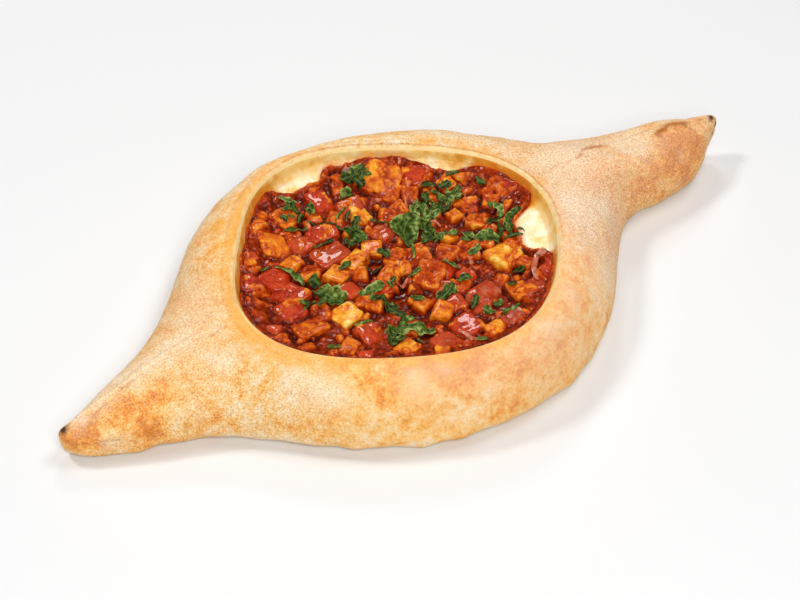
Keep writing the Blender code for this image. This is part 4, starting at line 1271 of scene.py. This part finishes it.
def sauce(finish, level, film, pulp):
    """The sauce as a closed body: its relief, a skirt sunk into the cheese, and a floor."""
    angle, radius = concentric(EDGE_GRID)
    edge = np.abs(radius)
    x, y = radius * np.cos(angle), radius * np.sin(angle)
    bearing = np.arctan2(y, x)
    # The edge wanders in and out, and its rim dips into the cheese
    ring = np.stack([np.cos(bearing), np.sin(bearing), 0 * bearing], -1) * NOISE_RING
    reach = stew_edge(bearing) + (1.1 * uneven(ring, 3, 44) - 0.3) * smooth(0.5, 1, edge)
    x, y = CENTRE[0] + x * reach, CENTRE[1] + y * reach
    z = read(level, x, y) - RIM_DIP * smooth(0.985, 1.0, edge)
    top = np.stack([x, y, z], -1).reshape(-1, 3)
    quads, rim = sheet_faces(np.arange(len(top)).reshape(x.shape))
    skirt = len(top) + np.arange(len(rim))
    rim_after, skirt_after = np.roll(rim, -1), np.roll(skirt, -1)
    wall = np.stack([rim, skirt, skirt_after, rim_after], axis=1)
    floor = np.stack([skirt_after, skirt, np.full(len(rim), len(top) + len(rim))], axis=1)
    points = np.concatenate([top, top[rim] - (0, 0, SKIRT_DEPTH), [(*CENTRE, SAUCE_FLOOR)]])
    faces = np.concatenate([halved(quads), halved(wall), floor])
    # How far a point stands above the sauce round it: the colour is painted darker in the hollows,
    # as painted shade, and lighter on the lumps
    rise = read(level - blurred(level, 2.6), x, y)
    tones = {
        "height": np.clip(0.45 + 0.34 * rise, 0, 1), "film": read(film, x, y),
        "pulp": np.clip(read(pulp, x, y), 0, 1),
    }
    put("tomato_sauce", points, faces, tones, finish, "stew_filling", "stew_filling")


def dice_of_kind(name, kind, pieces, finish, level):
    """All the pieces of one kind as one mesh, stained near the sauce."""
    parts = []
    for piece_kind, points, faces, shade in pieces:
        if piece_kind == kind:
            above = points[:, 2] - read(level, points[:, 0], points[:, 1])
            stain = 0.1 + 0.6 * shade + 0.45 * (1 - smooth(-0.2, 1.5, above))
            parts.append((points, faces, {"stain": stain, "tone": np.full(len(points), shade)}))
    put(name, *joined(parts), finish, "stew_filling", "stew_filling")


# ---------------------------------------------------------------- parsley and onion

# Chopped leaf of each bunch, as (x, y, length, width, turn in degrees)
BUNCHES = {
    "back": ((6, 51, 13, 5.5, 5), (5, 45, 7, 3.6, -83), (-3, 42, 6, 4, 7), (9, 48, 6, 3, 40)),
    "back_left": ((-27, 51, 8, 3, -53), (-27, 45, 9, 2.7, -106), (-21, 42, 8, 2.7, -108),
                  (-30, 47, 5, 2.2, 10)),
    "mid_left": ((-13, 21, 14, 6, -68), (-17, 15, 9, 3, -56), (-10, 24, 5, 3, 20)),
    "left": ((-43, -8, 12, 7, -64), (-54, -8, 7, 3.6, -20), (-48, -11, 8, 3, 10),
             (-46, -4, 6, 2.6, -40)),
    "left_strand": ((-28, -15, 12, 3.6, 1), (-27, -27, 15, 4, -79), (-30, -21, 5, 2.5, 30)),
    "left_front": ((-34, -41, 11, 6.3, 15), (-26, -44, 15, 6.3, -30), (-28, -38, 7, 3, 60),
                   (-36, -46, 6, 3, -60)),
    "centre": ((4, 9, 17, 12, 50), (13, 7, 10, 6, 60)),
    "centre_side": ((12, 2, 11, 6, 40), (15, -2, 6, 3, 80)),
    "right": ((43, -11, 18, 3.6, 40), (38, -8, 6, 5, -14), (44, -4, 8, 3.5, 75),
              (41, -15, 7, 3, 60)),
    "right_low": ((30, -14, 10, 5, -41), (26, -7, 7, 4, -86), (20, -4, 5, 2.2, 10),
                  (33, -17, 6, 3, 0)),
}
# The heap is many small curly cuts round its middle, under two larger ones
HEAP = (24, 17, 27, 12, 18)
HEAP_CUTS = 36
HEAP_LENGTHS = (2.8, 6.5)
HEAP_WIDTHS = (1.5, 3.6)
HEAP_LIFT = 1.1
HEAP_TOP = ((28, 27, 6, 5, -34), (34, 16, 8, 3, -54))
LOOSE_CUTS = (
    (-33, 35, 10, 3, -19), (-34, 42, 4, 3, -71), (-22, 31, 14, 1.8, -42), (-1, 20, 8, 2, -39),
    (-29, 20, 10, 3, 3), (-19, -4, 7, 3, 1), (-11, 1, 6, 2.7, -64), (-49, 12, 15, 2.7, -70),
    (-44, 3, 5, 3.6, -42), (-57, 19, 6, 2.2, 11), (-29, 3, 7, 2.7, 15), (48, 16, 7, 2.2, -84),
    (41, 27, 6, 2.2, -20), (21, -19, 6, 2.7, 10), (-8, -17, 6, 2.7, 8), (8, -19, 7, 2.7, -70),
    (7, -30, 6, 4, -2), (-3, -33, 9, 6, 11), (-16, -30, 6, 2.2, -53), (3, -44, 7, 2.7, 41),
    (4, -51, 6, 2.7, -76), (11, -49, 5, 2.2, 7), (29, -38, 5, 3.6, -26), (21, -44, 4, 2.7, -34),
    (-9, -65, 5, 2.7, -28), (-35, -45, 4, 3, -8), (-59, -35, 6, 3, -63), (39, -20, 8, 1.8, -25),
)
STEMS = (
    (-41, -29, 8, 1.8, -9), (12, -56, 11, 2.4, 19), (0, -4, 8, 1.4, -118), (-12, 33, 9, 1.3, 30),
)
STEM_THICKNESS = 1.1
# Onion slices, as (x, y, length, width, turn, bend)
ONION = (
    (36, -41, 20, 2.6, -133, 0.12), (11, -60, 9, 3, 17, 0.15), (-12, -59, 9, 2.4, -86, -0.15),
    (-15, -18, 6, 2, -10, 0.2), (41, -37, 7, 2, 14, 0.15), (18, 8, 8, 1.8, -60, -0.15),
)
ONION_THICKNESS = 1.3
ROD_SHADE = 0.75
LEAF_SEED = 12
# A leaf's half thickness, the height from which it is pressed down, the length of its teeth,
# and how far it may roll to a side
LEAF_HALF = 0.13
LEAF_CEILING = 29.2
TOOTH = 1.5
ROLL = 0.7
# How many cells of the field round it a leaf bridges
RESTING_CELLS = 2
# One bunch is whole leaves; on and round the others lie scraps: how many for each of their
# cuts, and how far out
WHOLE = "centre"
WHOLE_LOBES = 0.04
LOBES = 0.2
SCRAPS = 2
SCRAP_REACH = 0.75
SCRAP_LENGTHS = (2.2, 4.8)
SCRAP_WIDTHS = (1.2, 2.4)
SCRAP_LIFT = 0.7
# How much higher each next leaf of a bunch lies
LIFT_OF_NEXT = 0.35
ROD_SIDES = 10


def resting(level, height):
    """What chopped leaves lie on: the highest of what is close by, softened."""
    top = np.maximum(level, height)
    for axis in (0, 1) * RESTING_CELLS:
        top = np.maximum(top, np.maximum(np.roll(top, 1, axis), np.roll(top, -1, axis)))
    return blurred(top, 0.9)


def turned(place, along, across):
    """Plan coordinates of a spot that far along and across a piece that lies turned."""
    x, y, _, _, turn = place
    cosine, sine = math.cos(math.radians(turn)), math.sin(math.radians(turn))
    return x + along * cosine - across * sine, y + along * sine + across * cosine


def shell(grid, half):
    """A closed thin leaf round a grid of points: its points and faces, the upper side first."""
    normal = np.cross(np.gradient(grid, axis=0), np.gradient(grid, axis=1))
    normal /= np.maximum(np.linalg.norm(normal, axis=2), 1e-9)[..., None]
    rows, columns, _ = grid.shape
    edge = np.ones((rows, columns))
    edge[1:-1, 1:-1] = 0
    thick = half * (1 - 0.6 * edge)[..., None]
    points = np.concatenate([(grid + normal * thick).reshape(-1, 3),
                             (grid - normal * thick).reshape(-1, 3)])
    under = rows * columns
    top, rim = sheet_faces(np.arange(under).reshape(rows, columns))
    after = np.roll(rim, -1)
    sides = np.stack([rim, rim + under, after + under, after], axis=1)
    return points, np.concatenate([top, top[:, ::-1] + under, sides])


def cut_leaf(rng, place, rest, lift, lobed=LOBES):
    """One cut of leaf lying on the stew: its points, faces and tones."""
    _, _, length, width, _ = place
    rows = 9 + int(length * 1.6)
    columns = 5 + 2 * int(width)
    u = np.linspace(0, 1, rows)[:, None]
    v = np.linspace(-1, 1, columns)[None]
    # Its outline, with lobes and teeth
    phase = rng.uniform(0, 6)
    lobes = rng.choice((1.5, 2, 2.5))
    half = width / 2 * np.sin(math.pi * (0.06 + 0.88 * u)) ** 0.6
    half = half * (1 + lobed * np.cos(2 * math.pi * lobes * u + phase))
    teeth = np.abs(np.sin(math.pi * u * length / TOOTH + phase)) - 0.5
    half = half + 0.4 * lobed * min(width, 5) * teeth * np.abs(v) ** 3
    bend = rng.uniform(-0.22, 0.22) * length
    long = (u - 0.5) * length + 0.25 * np.abs(v) * half
    wide = v * half + bend * (2 * u - 1) ** 2
    # How it curls, ripples and leans
    curl = rng.uniform(-0.1, 0.3) * width
    waves = length / rng.uniform(3.5, 6)
    ripple = rng.uniform(0.25, 0.6) * min(width / 4, 1)
    wave = np.sin(2 * math.pi * waves * u + 2 * v + phase)
    rise = curl * np.abs(v) ** 1.6 + ripple * np.abs(v) * wave
    rise = rise + rng.uniform(-0.5, 0.9) * (u - 0.5) + 0.12 * np.abs(v)
    rise = rise + rng.uniform(-ROLL, ROLL) * v * half
    x, y = turned(place, long, wide)
    z = read(rest, x, y) + LEAF_HALF + 0.1 + lift + np.maximum(rise, -0.25)
    z = np.where(z > LEAF_CEILING, LEAF_CEILING + 0.35 * (z - LEAF_CEILING), z)
    points, faces = shell(np.stack([x, y, z], -1), LEAF_HALF)
    spine = hump(v * half, 0.3) * (u < 0.92)
    ribs = np.abs((long - 1.1 * np.abs(v) * half + phase) % 2.6 - 1.3) < 0.16
    vein = np.maximum(spine, 0.6 * ribs * (np.abs(v) < 0.85))
    # The raised parts and rims of a cut are painted lighter, as painted light where they stand up
    # into the light; the rims also show the paler underside
    shade = np.full(len(points), rng.uniform(0.1, 0.7) if width < 10 else 0.45)
    rims = 0.35 * np.abs(v) ** 4 * (width > 2)
    shade[: rows * columns] += (0.25 * np.clip(rise, -0.5, 0.8) + rims).ravel()
    under = np.repeat((0.0, 1.0), rows * columns)
    return points, faces, {"vein": np.tile(vein.ravel(), 2), "shade": shade, "under": under}


def scraps(rng, places, rest):
    """Small cuts scattered over and round a bunch."""
    cuts = []
    for place in places:
        for _ in range(SCRAPS):
            away = rng.gauss(0, 0.5) * SCRAP_REACH * place[2]
            aside = rng.gauss(0, 0.7) * place[3]
            scrap = (*turned(place, away, aside), rng.uniform(*SCRAP_LENGTHS),
                     rng.uniform(*SCRAP_WIDTHS), rng.uniform(0, 180))
            cuts.append(cut_leaf(rng, scrap, rest, rng.uniform(0, SCRAP_LIFT)))
    return cuts


def heap_cuts(rng, rest):
    """Small curly cuts piled in the middle of the heap, and the larger ones over them."""
    cuts = []
    for _ in range(HEAP_CUTS):
        along, across = rng.uniform(-0.5, 0.5) * HEAP[2], rng.uniform(-0.5, 0.5) * HEAP[3]
        place = (*turned(HEAP, along, across), rng.uniform(*HEAP_LENGTHS),
                 rng.uniform(*HEAP_WIDTHS), rng.uniform(0, 180))
        cuts.append(cut_leaf(rng, place, rest, rng.uniform(0, HEAP_LIFT)))
    return cuts + [cut_leaf(rng, place, rest, HEAP_LIFT) for place in HEAP_TOP]


def rod(place, rest, bend, thick):
    """A soft rod or slice lying on the stew, with closed ends: its points, faces and tone."""
    _, _, length, width, turn = place
    u = np.linspace(0, 1, 10 + int(length))[:, None]
    side = evenly(ROD_SIDES)[None]
    narrow = np.maximum(np.sin(math.pi * (0.02 + 0.96 * u)), 0.03) ** 0.35
    long = (u - 0.5) * length + 0 * side
    wide = bend * length * ((2 * u - 1) ** 2 - 0.5) + width / 2 * narrow * np.cos(side)
    x, y = turned(place, long, wide)
    bed = read(rest, x.mean(axis=1), y.mean(axis=1))[:, None]
    z = bed + thick / 2 * (0.4 + narrow * np.sin(side)) + 0.3 * np.sin(6 * u + turn)
    grid = np.stack([x, y, np.minimum(z, LEAF_CEILING + 0.4)], -1)
    points, faces = capped(grid, grid[0].mean(axis=0), grid[-1].mean(axis=0))
    return points, faces, {"shade": np.full(len(points), ROD_SHADE)}


def parsley(finish, rest):
    """Every bunch in place of its solid, the heap, and the loose cuts."""
    rng = Random(LEAF_SEED)
    for bunch, places in BUNCHES.items():
        lobed = WHOLE_LOBES if bunch == WHOLE else LOBES
        cuts = [cut_leaf(rng, place, rest, LIFT_OF_NEXT * k, lobed)
                for k, place in enumerate(places)]
        if bunch != WHOLE:
            cuts += scraps(rng, places, rest)
        put(f"parsley_{bunch}", *joined(cuts), finish, f"parsley_leaf_{bunch}", "parsley")
    heap = joined(heap_cuts(rng, rest))
    put("parsley_heap", *heap, finish, "parsley_leaf_heap", "parsley")
    loose = joined([cut_leaf(rng, place, rest, 0) for place in LOOSE_CUTS])
    put("parsley_cuts", *loose, finish, "stew_filling", "parsley")


def rods(name, places, finish, slot, rest, thick, seed):
    """Stems or slices as one piece, bent at random where their table doesn't say how much."""
    rng = Random(seed)
    parts = []
    for place in places:
        bend = place[5] if len(place) > 5 else rng.uniform(-0.1, 0.1)
        parts.append(rod(place[:5], rest, bend, thick))
    put(name, *joined(parts), finish, "stew_filling", slot)


# ---------------------------------------------------------------- floor, light and camera

# Metres from the middle of the floor to its edges
FLOOR_REACH = 3.0
# The camera in millimetres of the plan: where it stands and what it is turned towards
CAMERA_PLACE = (-423.4, -622.4, 674.5)
CAMERA_TARGET = (-4.77, -1.17, 0)
CAMERA_LENS = 108
WORLD_LIGHT = 0.15
# Soft boxes that point at the middle, as (name, place in metres, size, power)
LAMPS = (
    ("back_left_light", (-0.5, 0.55, 1.15), 0.25, 5.6),
    ("back_right_light", (0.5, 0.85, 0.95), 0.22, 2.6),
    ("front_light", (-0.45, -0.9, 1.0), 0.6, 12.0),
    ("right_light", (0.6, -0.1, 1.4), 0.65, 6.8),
)


def placed(name, data, place, towards):
    """A lamp or camera at its place, pointed in that direction."""
    made = bpy.data.objects.new(name, data)
    made.location = place
    made.rotation_euler = towards.to_track_quat("-Z", "Y").to_euler()
    bpy.context.scene.collection.objects.link(made)
    return made


def stand():
    """A plain pale floor, soft light from four lamps, and the camera."""
    size = FLOOR_REACH
    data = bpy.data.meshes.new("floor")
    data.from_pydata([(-size, -size, 0), (size, -size, 0), (size, size, 0), (-size, size, 0)],
                     [], [(0, 1, 2, 3)])
    pale = Finish("plain_floor", Roughness=0.9, Base_Color=hex_colour("eaeaea"))
    data.materials.append(pale.material)
    floor = bpy.data.objects.new("floor", data)
    bpy.context.scene.collection.objects.link(floor)

    world = bpy.data.worlds.new("studio")
    world.use_nodes = True
    back = world.node_tree.nodes["Background"]
    back.inputs["Color"].default_value = (1, 1, 1, 1)
    back.inputs["Strength"].default_value = WORLD_LIGHT
    bpy.context.scene.world = world
    for name, place, size, power in LAMPS:
        lamp = bpy.data.lights.new(name, "AREA")
        lamp.energy = power
        lamp.size = size
        placed(name, lamp, place, -Vector(place))

    lens = bpy.data.cameras.new("camera")
    lens.lens = CAMERA_LENS
    lens.sensor_width = 36
    aim = Vector(CAMERA_TARGET) - Vector(CAMERA_PLACE)
    bpy.context.scene.camera = placed("camera", lens, in_frame(CAMERA_PLACE), aim)
    bpy.context.scene.view_settings.view_transform = "Standard"


def build():
    bread(crust_finish())
    cheese(cheese_finish())
    pieces = stew_pieces()
    height, which = falls_on(pieces)
    level, film, pulp = sauce_field(pieces, height, which)
    sauce(sauce_finish(), level, film, pulp)
    dice_of_kind("chicken_dices", "chicken", pieces, chicken_finish(), level)
    dice_of_kind("tomato_pieces", "tomato", pieces, tomato_finish(), level)
    rest = resting(level, height)
    rods("onion_slices", ONION, onion_finish(), "stew_filling", rest, ONION_THICKNESS, 3)
    green = leaf_finish()
    parsley(green, rest)
    rods("parsley_stems", STEMS, green, "parsley", rest, STEM_THICKNESS, 4)
    stand()


build()
